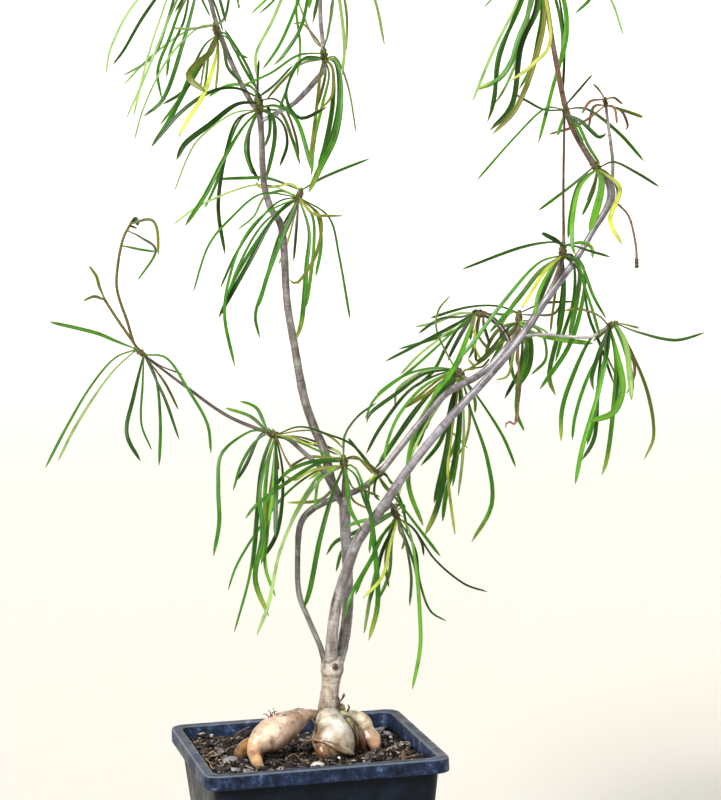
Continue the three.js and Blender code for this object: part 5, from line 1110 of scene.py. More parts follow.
# Leaves that only the picture needs, in gaps between the ones above: they carry no load and are thin.
MORE_LEAVES = {
    "tuft_far_left": [[0.4, 0.9, "mid", -56, 230, -57, 216, -53.6, 206]],
    "shoot_far_left_tall": [
        [-0.5, 1.5, "dark", -57.2, 290.2, -56, 291, -55.4, 288.6],
        [0.5, 0.7, "olive", -58.6, 288.6, -56, 287.6],
    ],
    "tuft_left": [
        [0.4, 1.7, "light", -10.6, 200, -12.4, 187, -12.2, 173, -14.6, 162],
        [-0.5, 1.3, "olive", -8.6, 199, -10, 190, -12.6, 177],
        [0.6, 1.2, "light", -8.2, 202, -8.8, 190, -10.4, 181],
        [-0.4, 1.5, "dark", -13.4, 197, -15.2, 183, -16.4, 170, -18, 160],
        [0.8, 0.9, "tan", -7.6, 203, -7, 197],
        [0.8, 0.9, "yellow", 2, 211.4, 9, 210.6, 14, 207.6, 17, 204.4],
        [-0.6, 1, "yellow", -1, 208.6, 4, 206.2, 8, 206.6],
        [0.5, 0.9, "olive", 0, 208.4, 9, 204.8, 15, 202],
        [1, 1.1, "mid", -16, 207, -21, 199, -24, 190],
    ],
    "tuft_fork": [
        [0.6, 1.2, "light", 9, 195.6, 5, 191, 1, 185, -4, 176],
        [-0.5, 0.7, "yellow", 8, 197, 3, 195.4, -1, 193, -4.6, 194.8],
        [0.7, 1.1, "yellow", 12, 197.5, 8, 196, 4, 193.2],
        [0.4, 1.5, "mid", 13.6, 190, 10.6, 182, 7.6, 172, 6, 164],
        [1, 1.5, "dark", 16.6, 189, 16, 180, 17.4, 169],
        [0.8, 1, "olive", 21, 200.4, 25.4, 198.6, 30, 193],
        [0.6, 0.9, "pale", 14.6, 203.4, 11.6, 204.6],
        [-0.6, 0.9, "olive", 20, 190, 24, 188.8, 30, 186],
        [0.5, 1, "yellow", 19, 188, 20.6, 184.4, 25, 181.8],
        [-0.4, 1.3, "mid", 21.5, 194, 24, 186, 27, 176, 25.6, 165],
        [-0.8, 1.2, "mid", 6, 199.8, -3, 196.6, -9, 190, -13, 183],
        [1, 1, "olive", 11, 201, 4, 201.4, -3, 198],
    ],
    "tuft_front_low": [
        [0.6, 0.8, "olive", 38, 182, 35, 182.6, 31, 180, 27, 178.4],
        [-0.4, 0.8, "mid", 37.4, 183, 39, 182, 38, 179.6],
        [0.5, 1.6, "light", 30, 170.6, 26.6, 163.4, 22.4, 156, 20, 149.6],
        [0.7, 1, "yellow", 37, 173, 38.6, 169.6, 37.6, 166],
        [-0.5, 1.4, "dark", 30.6, 166, 27.6, 155, 25, 146],
        [1, 1.2, "mid", 27, 175, 20, 171, 15.4, 166, 13, 158.4],
        [-0.6, 1.2, "light", 29, 178, 23, 177, 17.6, 175.4],
        [0.3, 1.1, "mid", 39, 170, 42, 160, 43.4, 151],
        [0.8, 1, "olive", 33, 171.6, 31.4, 160.6, 32.4, 152],
    ],
    "tuft_back_low": [
        [0.5, 1.1, "mid", 32.6, 194, 34.4, 190.6],
        [-0.4, 1, "mid", 28.4, 190.6, 28.2, 187, 30, 184.6],
        [0.6, 1, "olive", 31, 191, 33.4, 188, 37, 186],
        [-0.7, 0.9, "yellow", 27.6, 193, 26, 190],
    ],
    "tuft_inner": [
        [0.5, 1.3, "mid", -3, 293, -11, 283, -19, 271, -24, 261],
        [-0.4, 0.9, "dark", -4, 295.6, -13, 287, -20, 277, -26, 265],
        [0.3, 1.6, "mid", 0, 289, -4, 280, -9, 268, -12, 258],
        [0.4, 1.5, "light", 8.4, 290, 8.6, 280, 7, 268, 5, 257],
        [0.7, 0.9, "yellow", 1, 302, -4, 301.4, -10, 301, -12, 303.4],
        [0.8, 0.9, "light", -3, 299.6, -9, 297.4, -13, 290.6, -19, 286],
        [-0.6, 1.2, "mid", 10, 291, 11.4, 280, 9, 268],
    ],
    "tuft_mid_left": [
        [0.6, 1, "olive", -4, 333, 0, 329, 3, 320, 4.2, 312],
        [-0.4, 1.4, "dark", -6.4, 330, -6, 322, -8, 316],
        [0.5, 1.2, "light", -13, 338, -21, 338.4, -28, 334.6],
        [0.9, 1.2, "mid", -16, 327, -21, 318, -26, 304, -31, 294],
        [-0.5, 1, "mid", -12, 326, -15.4, 316, -13, 306],
    ],
    "tuft_mid_right": [
        [0.4, 1.3, "light", 16, 341, 13.4, 331, 10, 318, 8.5, 305],
        [-0.7, 1, "olive", 17.5, 343, 17, 334, 13, 329],
        [0.9, 0.7, "tan", 11, 355.4, 7, 360, 3.6, 360],
        [0.5, 1.6, "mid", 18.6, 345, 19.4, 333, 17, 321, 13, 312],
    ],
    "tuft_upper_left": [
        [-0.8, 0.9, "mid", -21, 357, -17.5, 350.5, -13, 348],
        [0.6, 0.9, "mid", -20, 355, -15, 345, -11, 337.6],
        [0.5, 1, "light", -27, 352, -29, 340, -31, 333],
        [-0.5, 0.8, "olive", -28, 350, -30, 342, -31, 336.6],
        [0.8, 1.2, "mid", -29, 353, -34, 344, -39, 334, -46, 325],
    ],
    "tuft_top_left": [
        [0.5, 1.1, "mid", -35, 372, -41, 357, -46, 345, -45, 334],
        [-0.5, 1, "pale", -37, 372, -46, 353, -52, 340, -58, 328],
        [0.7, 1, "mid", -27, 374, -24, 366, -22, 358],
        [1, 0.8, "pale", -22, 381, -18, 373, -15.4, 366],
        [0.2, 1.2, "mid", -33, 374, -36, 362, -41, 352, -43, 342],
    ],
    "tuft_top_middle": [
        [0.4, 1.2, "mid", 9, 376, 3, 362, -2, 352, -8, 344],
        [1, 1.1, "dark", 13, 376, 12.4, 367, 10.6, 360],
        [0.6, 1, "light", 8, 379, 5, 366, 6, 352, 4.6, 341],
        [-0.4, 1, "pale", 20, 380, 23, 364, 22.6, 350],
    ],
    "tuft_top_right": [
        [0.6, 1.3, "dark", 88, 371, 82, 356, 78, 345, 76, 333, 74, 324],
        [-0.4, 1.3, "mid", 94, 364, 92, 351, 89.6, 342, 85, 334],
        [0.9, 0.9, "pale", 90, 369, 85, 347, 80, 335, 76, 329],
        [0.3, 1.5, "mid", 91, 367, 85, 352, 81, 341, 73, 335],
        [-0.5, 1, "light", 100, 371, 102.4, 358, 100.6, 346],
    ],
    "tuft_inner_right_a": [
        [0.5, 0.9, "pale", 62, 250, 54, 244, 46, 238, 39, 231],
        [-0.5, 1, "olive", 67.6, 248, 68.6, 243.4, 73, 238],
        [0.8, 0.9, "light", 74, 252.4, 78, 252, 82, 253.2],
        [0.6, 1.3, "mid", 61, 248, 56, 240.6, 51, 232, 44, 226],
        [-0.4, 1, "yellow", 67, 246.6, 66.6, 240.6, 69, 235],
        [0.9, 0.9, "dark", 62, 251.6, 54, 251, 46, 246],
    ],
    "tuft_inner_right_b": [
        [0.6, 1, "mid", 50, 233, 40, 230.4, 30, 224],
        [-0.4, 1, "olive", 52, 228, 45, 222.4, 40.4, 218.6],
        [0.4, 1.8, "mid", 54, 224, 48, 215, 43, 205],
        [0.7, 1, "yellow", 55, 225, 50.4, 217, 48, 210.6],
        [-0.6, 1.9, "dark", 57, 219, 56, 208, 54, 198, 50, 183],
        [0.8, 1.5, "light", 60.4, 217, 59, 207, 56, 199],
        [0.3, 1.3, "mid", 60.6, 214, 59.4, 203, 57, 189],
        [-0.5, 0.9, "yellow", 63, 232, 66.4, 232.6, 64, 236],
        [0.6, 0.9, "olive", 64, 232.4, 69, 233, 72, 236],
        [1, 0.8, "pale", 61.6, 236, 63, 242, 67, 247],
        [0.9, 1.3, "light", 52, 223, 45, 211, 41.6, 200, 41, 188],
        [0.5, 1, "mid", 53, 227, 44, 218, 36, 207, 30, 199],
    ],
    "tuft_inner_right_c": [
        [0.5, 0.9, "light", 80, 252.6, 77, 249, 76, 244],
        [-0.5, 0.9, "pale", 86, 248.6, 92, 245.8, 95, 242.6],
        [0.8, 1, "olive", 81, 246, 78, 242.6, 74, 241],
        [0.6, 1, "yellow", 84, 244, 86.4, 236, 83, 230],
        [-0.7, 0.7, "tan", 82, 218, 80.6, 211.6, 78, 212.6, 77, 210],
        [0.3, 1.4, "mid", 86, 244, 84.6, 233, 81, 224],
    ],
    "tuft_right_mid": [
        [0.4, 1.2, "mid", 92, 268, 84, 258.6, 78, 252, 72, 245.6],
        [-0.4, 1.2, "light", 95, 268, 90.4, 259, 89, 251],
        [0.8, 1, "dark", 102.6, 273, 104, 270],
        [0.5, 1.6, "dark", 99.6, 264, 98.6, 255, 97, 246],
        [-0.5, 1.1, "mid", 105, 270, 107.6, 261, 110.6, 251, 112.6, 243],
        [0.6, 1, "tan", 98.4, 272, 98.6, 266],
        [0.9, 1.4, "mid", 103.6, 269, 103, 256, 99, 244, 96, 234],
    ],
    "tuft_far_right": [
        [0.4, 1.6, "mid", 115, 238, 112, 226, 110.2, 215, 107, 203],
        [-0.4, 1, "dark", 117.6, 240, 119.4, 231, 118, 218],
        [0.7, 0.7, "olive", 114.4, 238, 117.4, 230, 119, 226],
        [0.8, 1, "olive", 112.6, 243.4, 110, 241.4],
        [-0.6, 1.5, "mid", 121, 240, 123.4, 231, 124.4, 222],
        [0.5, 1.3, "mid", 113, 238, 107, 226, 103, 214, 101.6, 205],
    ],
    "tuft_right_upper": [
        [0.5, 1.2, "mid", 106, 299, 102.6, 288, 101.6, 279],
        [-0.5, 1, "light", 113.6, 298, 111, 288, 109.4, 282],
        [0.9, 0.8, "olive", 112, 300, 109, 293],
    ],
    "tuft_right_thin": [
        [0.6, 1, "light", 100.4, 322, 98.6, 317],
        [-0.4, 0.9, "mid", 104, 322, 108, 314],
    ],
}
SHOOT_FEET = {"shoot_far_left_tall": [-56.4, 243, -25.2], "shoot_far_left_short": [-57.2, 243.6, -25]}
YELLOW_TIPS = {
    "tuft_left": [5, 1], "tuft_fork": [7, 4], "tuft_top_right": [1], "tuft_inner_right_b": [10, 16],
    "tuft_right_mid": [7], "tuft_far_right": [4, 6, 11], "tuft_mid_right": [0], "tuft_inner": [9],
}
LEAF_LENGTH = 52
LEAF_WIDTH = 2
LEAF_CLEARANCE = 2.7
CROWN_REACH = 7
CLEAR_STEP = 2
CLEAR_TRIES = 44
SAMPLES = 24
BLADE_STATIONS = 26
BLADE_THICKNESS = 1.1
BLADE_SHAPE = ((0, 0.08, 0.2, 0.4, 0.6, 0.85, 0.93, 0.97, 0.99, 1),
               (0.45, 0.48, 0.62, 0.88, 1, 1, 0.88, 0.62, 0.34, 0.1))
BLADE_SECTION = [(-1, 0.1), (-0.82, -0.06), (-0.42, -0.19), (0, -0.28), (0.42, -0.19), (0.82, -0.06),
                 (1, 0.1), (0.78, 0.2), (0.4, 0.1), (0, 0.02), (-0.4, 0.1), (-0.78, 0.2)]
BRACT_SECTION = [(-1, 0), (0, -0.12), (1, 0), (0, 0.1)]
UPWARD = np.array((0, 0, 6))
to_eye = np.array((math.sin(PLANE_TURN), math.cos(PLANE_TURN), 0))
ball_places, ball_sizes, ball_owners, ball_shares = [], [], [], []


def add_balls(path, radii, owner):
    """Balls along a stem or a leaf that later leaves keep clear of."""
    for i, (place, radius) in enumerate(zip(path, radii)):
        ball_places.append(place)
        ball_sizes.append(radius)
        ball_owners.append(owner)
        ball_shares.append(i / (len(path) - 1))


for points in [points for name, points in STEMS] + [SPUR, HANGING_TWIG]:
    ends = [spot(*point[:3]) for point in points]
    count = math.ceil(lengths_along(ends)[-1] / 2)
    rows = [i / count * (len(points) - 1) for i in range(count + 1)]
    radii = [max(points[math.floor(at)][3], points[math.ceil(at)][3]) for at in rows]
    add_balls(curve_at(ends, np.linspace(0, 1, count + 1)), radii, "stem")


def crown_point(crown, across, up):
    """The nearest point on a crown's axis to a leaf's first point."""
    best, nearest = None, math.inf
    for (ax, az, ad), (bx, bz, bd) in zip(crown, crown[1:]):
        share = ((across - ax) * (bx - ax) + (up - az) * (bz - az)) / ((bx - ax) ** 2 + (bz - az) ** 2)
        share = min(0.8, max(0.25, share))
        x, z = ax + (bx - ax) * share, az + (bz - az) * share
        far = (across - x) ** 2 + (up - z) ** 2
        if far < nearest:
            best, nearest = (x, z, ad + (bd - ad) * share), far
    return best


def leaf_points(crown, lean, points, shift):
    """A drawn leaf in space: it leans in depth by as much as its real length needs."""
    root = crown_point(crown, *points[0])
    path = [root[:2], *points]
    gone = np.concatenate([[0], np.cumsum([math.dist(a, b) for a, b in zip(path, path[1:])])])
    seen = gone[-1]
    real = min(LEAF_LENGTH, 2.2 * seen)
    reach = math.sqrt(max(real * real - seen * seen, 0.05 * seen * seen))
    return [spot(x, z, root[2] + (lean * reach + shift) * share * (2 - share))
            for (x, z), share in zip(path, gone / seen)]


def blocked(path, places, sizes, own, wood, young):
    """Whether a leaf comes too near another thing, apart from the crown that it grows from."""
    near = ((path - path[0]) ** 2).sum(axis=1) < CROWN_REACH ** 2
    crowd = ((places - path[0]) ** 2).sum(axis=1) < CROWN_REACH ** 2
    start = np.arange(len(path)) < 0.3 * SAMPLES
    skipped = near[:, None] & (crowd & (wood | own))[None] | own[None] & (young[None] | start[:, None])
    clear = sizes + LEAF_CLEARANCE - LEAF_WIDTH / 2
    apart = (path ** 2).sum(axis=1)[:, None] + (places ** 2).sum(axis=1)[None] - 2 * path @ places.T
    return bool((~skipped & (apart < clear[None] ** 2)).any())


def clear_leaf(owner, crown, lean, drawn):
    """A leaf bent clear of stems and other leaves by the same rule as the solids."""
    points = list(zip(drawn[::2], drawn[1::2]))
    rest = (np.array(ball_places), np.array(ball_sizes), np.array([name == owner for name in ball_owners]),
            np.array([name == "stem" for name in ball_owners]), np.array(ball_shares) < 0.3)
    for attempt in range(CLEAR_TRIES):
        step = CLEAR_STEP * math.ceil(attempt / 2) * (-1 if attempt % 2 == 0 else 1)
        ends = leaf_points(crown, lean, points, step)
        path = spaced(ends, SAMPLES)[0]
        if not blocked(path, *rest):
            break
    add_balls(path, [LEAF_WIDTH / 2] * len(path), owner)
    return ends


def leaf_blade(ends, width, tone, tipped):
    """A channelled blade along its curve, and its colour at each point."""
    path = spaced(ends, BLADE_STATIONS)[0]
    along = np.gradient(path, axis=0)
    along /= np.linalg.norm(along, axis=1)[:, None]
    broad = max(0.85 * LEAF_WIDTH, width)
    roll = math.acos(min(1, width / broad))
    shares = np.linspace(0, 1, len(path))
    halves = np.interp(shares, *BLADE_SHAPE) * broad / 2
    wave = seeded.uniform(0, 6)
    swing = seeded.uniform(0.05, 0.2)
    axes = []
    for i in range(len(path)):
        away = to_eye - along[i] * np.dot(to_eye, along[i])
        away /= np.linalg.norm(away)
        across = np.cross(away, along[i])
        turn = roll + swing * math.sin(wave + 5 * shares[i])
        axes.append((away * math.cos(turn) - across * math.sin(turn),
                     across * math.cos(turn) + away * math.sin(turn)))
    facing = sum(np.dot(axis[0], path[i] - path[0] + UPWARD) for i, axis in enumerate(axes))
    sign = 1 if facing > 0 else -1
    base = np.array(linear(LEAF_TONES[tone])[:3]) * seeded.uniform(0.85, 1.15)
    base *= np.array((seeded.uniform(0.9, 1.12), 1, seeded.uniform(0.85, 1.1)))
    young = np.array(linear("7d8838")[:3])
    tip = np.array(linear("93a444" if tipped else "62762c")[:3])
    places, tints = [], []
    for i, (thick, wide) in enumerate(axes):
        fade = max(0, 1 - shares[i] / 0.12)
        last = max(0, (shares[i] - (0.8 if tipped else 0.96)) / (0.2 if tipped else 0.04))
        colour = base + (young - base) * 0.55 * fade + (tip - base) * 0.85 * last
        thin = min(1, 0.35 + halves[i] / (broad / 2))
        for w, h in BLADE_SECTION:
            places.append(path[i] + sign * (wide * w * halves[i] + thick * h * thin * BLADE_THICKNESS))
            # The midrib on the upper face is pale, partly a painted highlight along the channel, and the
            # edges are lightened as a painted highlight.
            midrib_and_highlight = 1 + 0.22 * max(0, 1 - abs(w) / 0.3) * (h > 0) + 0.12 * (abs(w) > 0.9)
            tints.append([*(colour * midrib_and_highlight), 1])
    return np.array(places), tube(len(path), len(BLADE_SECTION)), tints


def crown_knot(crown, radius, colours):
    """The woody crown of a whorl: a knobbly stub clad in the brown bracts of old leaves."""
    rows = [[*point, radius] for point in crown]
    path, radii, shares = row_stations(rows, 0.4)
    sides = 14
    turns = np.linspace(0, 2 * math.pi, sides, endpoint=False)
    shape = 0.42 + 0.34 * np.sin(np.clip(shares * 1.15, 0, 1) * math.pi) ** 0.6
    lumps = [shape[i] * (1 + 0.16 * np.sin(turns * 3 + i * 1.3)) for i in range(len(path))]
    part = strand(path, radii, sides, lumps)
    tint = np.repeat([skin_between(colours, share) for share in shares], sides, axis=0)
    return part[0], part[1], tint.tolist()


def bract(place, out, up, length, code):
    """A small dry scale that clasps the crown."""
    ends = [place, place + (0.35 * out + 0.5 * up) * length, place + (0.45 * out + up) * length]
    path = spaced(ends, 5)[0]
    wide = np.cross(up, out)
    wide /= np.linalg.norm(wide)
    places = []
    for i, middle in enumerate(path):
        half = 0.42 * (1 - (i / 5) ** 2) + 0.03
        places += [middle + wide * w * half + out * h for w, h in BRACT_SECTION]
    return np.array(places), tube(len(path), len(BRACT_SECTION)), [linear(code)] * len(places)


# The leaf is smooth and a little waxy: fresh green with a pale midrib, faintly striped by its veins,
# glossy enough to catch a pale light along the channel. The midrib's paleness is partly, and the lighter
# edges wholly, a painted highlight.
MOTTLE = 6
PORE = 0.5
leaf_green, tree, shader = new_material("waxy green leaf", Specular_IOR_Level=0.2, Subsurface_Weight=0.06,
                                        Subsurface_Scale=0.6 * MM, Coat_Weight=0.04, Coat_Roughness=0.3)
shader.inputs["Subsurface Radius"].default_value = (0.5, 1.0, 0.2)
where = add(tree, "ShaderNodeTexCoord").outputs["Object"]
skin = add(tree, "ShaderNodeAttribute", attribute_name="skin")
clouds = add(tree, "ShaderNodeTexNoise", {"Vector": where, "Scale": 1 / (MOTTLE * MM), "Detail": 4.0})
wash = add(tree, "ShaderNodeValToRGB", {"Fac": clouds.outputs["Fac"]},
           stops=[(0.3, "b9c2a4"), (0.5, "f4f4ea"), (0.75, "fffbc8")])
mixed = add(tree, "ShaderNodeMix", {0: 1.0, 6: skin.outputs["Color"], 7: wash.outputs["Color"]},
            data_type="RGBA", blend_type="MULTIPLY")
tree.links.new(mixed.outputs[2], shader.inputs["Base Color"])
sheen = add(tree, "ShaderNodeMapRange", {"Value": clouds.outputs["Fac"], "To Min": 0.3, "To Max": 0.46})
tree.links.new(sheen.outputs["Result"], shader.inputs["Roughness"])
pores = add(tree, "ShaderNodeTexNoise", {"Vector": where, "Scale": 1 / (PORE * MM), "Detail": 2.0})
bump = add(tree, "ShaderNodeBump", {"Height": pores.outputs["Fac"], "Strength": 0.15, "Distance": 0.05 * MM})
tree.links.new(bump.outputs["Normal"], shader.inputs["Normal"])

# Crowns and bracts are dry, papery and matt, olive brown with a fine fibre.
PAPER_FIBRE = 0.7
dry_scale, tree, shader = new_material("dry papery scale", Roughness=0.8)
skin = add(tree, "ShaderNodeAttribute", attribute_name="skin")
where = add(tree, "ShaderNodeTexCoord").outputs["Object"]
fibre = add(tree, "ShaderNodeTexNoise", {"Vector": where, "Scale": 1 / (PAPER_FIBRE * MM), "Detail": 5.0})
worn = add(tree, "ShaderNodeValToRGB", {"Fac": fibre.outputs["Fac"]},
           stops=[(0.3, "8f8478"), (0.65, "ffffff")])
mixed = add(tree, "ShaderNodeMix", {0: 1.0, 6: skin.outputs["Color"], 7: worn.outputs["Color"]},
            data_type="RGBA", blend_type="MULTIPLY")
tree.links.new(mixed.outputs[2], shader.inputs["Base Color"])
bump = add(tree, "ShaderNodeBump", {"Height": fibre.outputs["Fac"], "Strength": 0.6, "Distance": 0.15 * MM})
tree.links.new(bump.outputs["Normal"], shader.inputs["Normal"])

leaf_ends = {name: [clear_leaf(name, crown, lean, points) for lean, width, tone, *points in leaves]
             for name, crown, radius, leaves in TUFTS}
for name, crown, radius, leaves in TUFTS:
    leaf_ends[name] += [clear_leaf(name, crown, lean, points)
                        for lean, width, tone, *points in MORE_LEAVES.get(name, [])]
LEAF_FACE, DRY_FACE = 0, 1
BRACTS = 7
BRACT_TURN = 2.4
for name, crown, radius, leaves in TUFTS:
    is_shoot = name in SHOOT_FEET
    if is_shoot:
        rows = [[*point, radius] for point in [SHOOT_FEET[name], *crown]]
        (places, faces), tint, grain = ringed_stem(rows, ("57481f", "6f6d28"), 12)
        tints = tint.tolist()
    else:
        places, faces, tints = crown_knot(crown, radius, ("5a4a34", "5f5c2c", "566a2a"))
    parts = [(places, faces)]
    marks = [DRY_FACE] * len(faces)
    axis_ends = [spot(*point) for point in crown]
    up = axis_ends[-1] - axis_ends[0]
    up /= np.linalg.norm(up)
    for i in range(0 if is_shoot else BRACTS):
        turn = BRACT_TURN * i
        side = np.cross(up, (math.cos(turn), math.sin(turn), 0.1))
        side /= np.linalg.norm(side)
        place = axis_ends[0] + (axis_ends[-1] - axis_ends[0]) * (0.1 + 0.1 * i) + side * radius * 0.5
        code = seeded.choice(("4f3c28", "6b5632", "5c5a28"))
        places, faces, tint = bract(place, side, up, seeded.uniform(1.2, 2.2), code)
        parts.append((places, faces))
        tints += tint
        marks += [DRY_FACE] * len(faces)
    for k, (lean, width, tone, *points) in enumerate(leaves + MORE_LEAVES.get(name, [])):
        tipped = k in YELLOW_TIPS.get(name, [])
        places, faces, tint = leaf_blade(leaf_ends[name][k], width, tone, tipped)
        parts.append((places, faces))
        tints += tint
        marks += [DRY_FACE if tone == "tan" else LEAF_FACE] * len(faces)
    places, faces = joined(parts)
    make_piece(name.replace("tuft", "leaves"), places, faces, [leaf_green, dry_scale], [name],
               "dry_leaf" if name == "dry_tuft" else "leaf", tints, marks)

# Loose things on the soil: bark chips and crumbs, fibres, white perlite and grey grit, scattered by
# rule and settled on the crumbled surface, with four larger ones where they lie in the pot.
CRUMBS = 2100
FIBRES = 120
FIBRE_BENDS = 6
scatter = random.Random(21)
bpy.ops.mesh.primitive_ico_sphere_add(subdivisions=1, radius=1)
ball = bpy.context.object
BALL = np.array([vertex.co for vertex in ball.data.vertices])
BALL_FACES = [list(face.vertices) for face in ball.data.polygons]
bpy.data.objects.remove(ball)


def free_of_roots(place, margin):
    """Whether a place lies outside every root by a margin."""
    return (np.linalg.norm(centres - place, axis=1) - sizes).min() > margin


def soil_spot(margin):
    """A free place on the soil."""
    while True:
        x, y = (scatter.uniform(-soil_half + 1.2, soil_half - 1.2) for _ in range(2))
        place = np.array((x, y, crumbled(x, y)))
        if abs(x) + abs(y) < 2 * soil_half - 4 and free_of_roots(place, margin):
            return place


def lump(place, length, width, height, jag, tilt):
    """An irregular crumb or chip, turned at random."""
    shape = BALL * [[1 + scatter.uniform(-jag, jag)] for _ in BALL] * (length / 2, width / 2, height / 2)
    turn = Matrix.Rotation(scatter.uniform(0, 2 * math.pi), 3, "Z")
    turn = turn @ Matrix.Rotation(scatter.uniform(-tilt, tilt), 3, "X")
    turn = turn @ Matrix.Rotation(scatter.uniform(-tilt, tilt), 3, "Y")
    return shape @ np.array(turn).T + place, BALL_FACES


def scattered(name, parts, material, slot, smooth=False):
    """Loose bits of one kind as one piece, added to the part without a node."""
    places, faces = joined(parts)
    return make_piece(name, places, faces, [material], [], slot, smooth=smooth)


def loose_material(name, stops, roughness, size, depth):
    """Colours that differ from one loose piece to the next, with a fine grain."""
    made, tree, shader = new_material(name, Roughness=roughness)
    each = add(tree, "ShaderNodeNewGeometry").outputs["Random Per Island"]
    colour = add(tree, "ShaderNodeValToRGB", {"Fac": each}, stops=stops)
    where = add(tree, "ShaderNodeTexCoord").outputs["Object"]
    fine = add(tree, "ShaderNodeTexNoise", {"Vector": where, "Scale": 1 / (size * MM), "Detail": 5.0})
    worn = add(tree, "ShaderNodeValToRGB", {"Fac": fine.outputs["Fac"]},
               stops=[(0.3, "8c8c8c"), (0.7, "ffffff")])
    mixed = add(tree, "ShaderNodeMix", {0: 1.0, 6: colour.outputs["Color"], 7: worn.outputs["Color"]},
                data_type="RGBA", blend_type="MULTIPLY")
    tree.links.new(mixed.outputs[2], shader.inputs["Base Color"])
    bump = add(tree, "ShaderNodeBump", {"Height": fine.outputs["Fac"], "Strength": 0.7,
                                        "Distance": depth * MM})
    tree.links.new(bump.outputs["Normal"], shader.inputs["Normal"])
    return made


chip_bark = loose_material("composted bark chips", [(0.0, "0a0706"), (0.35, "17110d"), (0.56, "2b211b"),
                           (0.72, "473b36"), (0.87, "77706f"), (1.0, "ab9c8a")], 0.9, 0.6, 0.2)
straw = loose_material("dry plant fibre", [(0.0, "2d2017"), (0.55, "66492f"), (0.85, "9a7c55"),
                       (1.0, "c4ab84")], 0.8, 0.8, 0.1)
perlite = loose_material("white perlite", [(0.0, "c9c4ba"), (1.0, "f2efe8")], 0.9, 0.4, 0.15)
stone_grit = loose_material("rounded grey grit", [(0.0, "494746"), (0.5, "757370"), (1.0, "a39484")],
                            0.75, 0.5, 0.1)
# Chips, small and large: how many, their lengths, margin, lift, width shares, heights, jag and tilt.
CHIPS = [(620, (1.8, 5.2), 0.3, 0.25, (0.35, 0.7), (0.6, 1.3), 0.3, 0.45),
         (55, (4.5, 8.5), 0.4, 0.5, (0.2, 0.5), (0.8, 1.6), 0.35, 0.6)]
parts = []
for count, lengths, margin, lift, widths, heights, jag, tilt in CHIPS:
    for i in range(count):
        length = scatter.uniform(*lengths)
        place = soil_spot(length * margin) + (0, 0, lift)
        width = length * scatter.uniform(*widths)
        parts.append(lump(place, length, width, scatter.uniform(*heights), jag, tilt))
for i in range(CRUMBS):
    size = scatter.uniform(0.5, 1.5)
    parts.append(lump(soil_spot(0) + (0, 0, 0.1), size, size * scatter.uniform(0.6, 1), size * 0.8, 0.25, 3))
scattered("bark_chips", parts, chip_bark, "soil")
# Grains: how many, their sizes, lift, width and height as shares of the size, and jag.
GRAINS = [("perlite_grains", 20, (0.7, 1.9), 0.3, 0.9, 0.8, 0.25, perlite, False),
          ("grit_grains", 40, (1.0, 2.6), 0.2, 0.85, 0.7, 0.12, stone_grit, True)]
for name, count, across, lift, width, height, jag, material, smooth in GRAINS:
    parts = []
    for i in range(count):
        size = scatter.uniform(*across)
        parts.append(lump(soil_spot(size * 0.4) + (0, 0, lift), size, size * width, size * height, jag, 3))
    scattered(name, parts, material, "pebble", smooth)


def soil_depth(across, up):
    """How far behind the drawing plane a drawn point meets the soil."""
    depth = (SOIL_LEVEL + 0.5 - up) * EYE_DISTANCE / (up - EYE_HEIGHT)
    place = spot(across, up, depth)
    return (soil_height(place[0], place[1]) - up) * EYE_DISTANCE / (up - EYE_HEIGHT)


# Pale crumbs and silvery slips of bark lie in plain sight: across, up, length and width.
PALE_CRUMBS = [(-36, 98, 2.6, 1.6), (-33.4, 98.4, 1.8, 1.4), (-30.6, 97.8, 2.2, 1.3), (-28, 97.4, 1.4, 1.1),
               (-38.4, 97, 2, 1.5), (-34.6, 96.2, 1.5, 1), (31, 91.6, 2.4, 1.5), (33.4, 89.4, 2.8, 1.7),
               (35.2, 92, 1.8, 1.2), (30.2, 88.4, 1.6, 1.3), (28.4, 93.6, 1.3, 1), (-10, 84.5, 4.4, 3),
               (-6.4, 83.6, 2.2, 1.8), (17.6, 86.2, 2, 1.5), (20.4, 85.4, 1.7, 1.2), (-20.4, 84, 2.1, 1.4)]
SILVER_BARK = [(26.4, 98.2, 6.4, 2.4), (29, 97.6, 5.6, 2), (30.6, 96, 6, 2.2), (28.2, 95.4, 5, 1.8),
               (24.6, 97, 4.6, 1.6), (31.6, 94.2, 4.4, 1.8), (28.4, 99, 4.6, 1.6), (-26, 85.2, 5.4, 3.2),
               (-22.6, 83.8, 4, 2.4)]
pale_crumb = loose_material("bleached crumbs", [(0.0, "8e7a63"), (0.5, "b3a38d"), (1.0, "d0c5b6")],
                            0.9, 0.7, 0.2)
silver_slip = loose_material("weathered bark slips", [(0.0, "5d5a60"), (0.5, "85818a"), (1.0, "aaa7ac")],
                             0.85, 0.9, 0.2)
for name, rows, material in (("pale_crumbs", PALE_CRUMBS, pale_crumb),
                             ("bark_slips", SILVER_BARK, silver_slip)):
    parts = []
    for across, up, length, width in rows:
        inside = soil_half - length / 2
        place = np.clip(spot(across, up, soil_depth(across, up)), -inside, inside)
        place[2] = crumbled(place[0], place[1]) + 0.5
        parts.append(lump(place, length, width, width * 0.6, 0.25, 0.5))
    scattered(name, parts, material, "soil")
parts = []
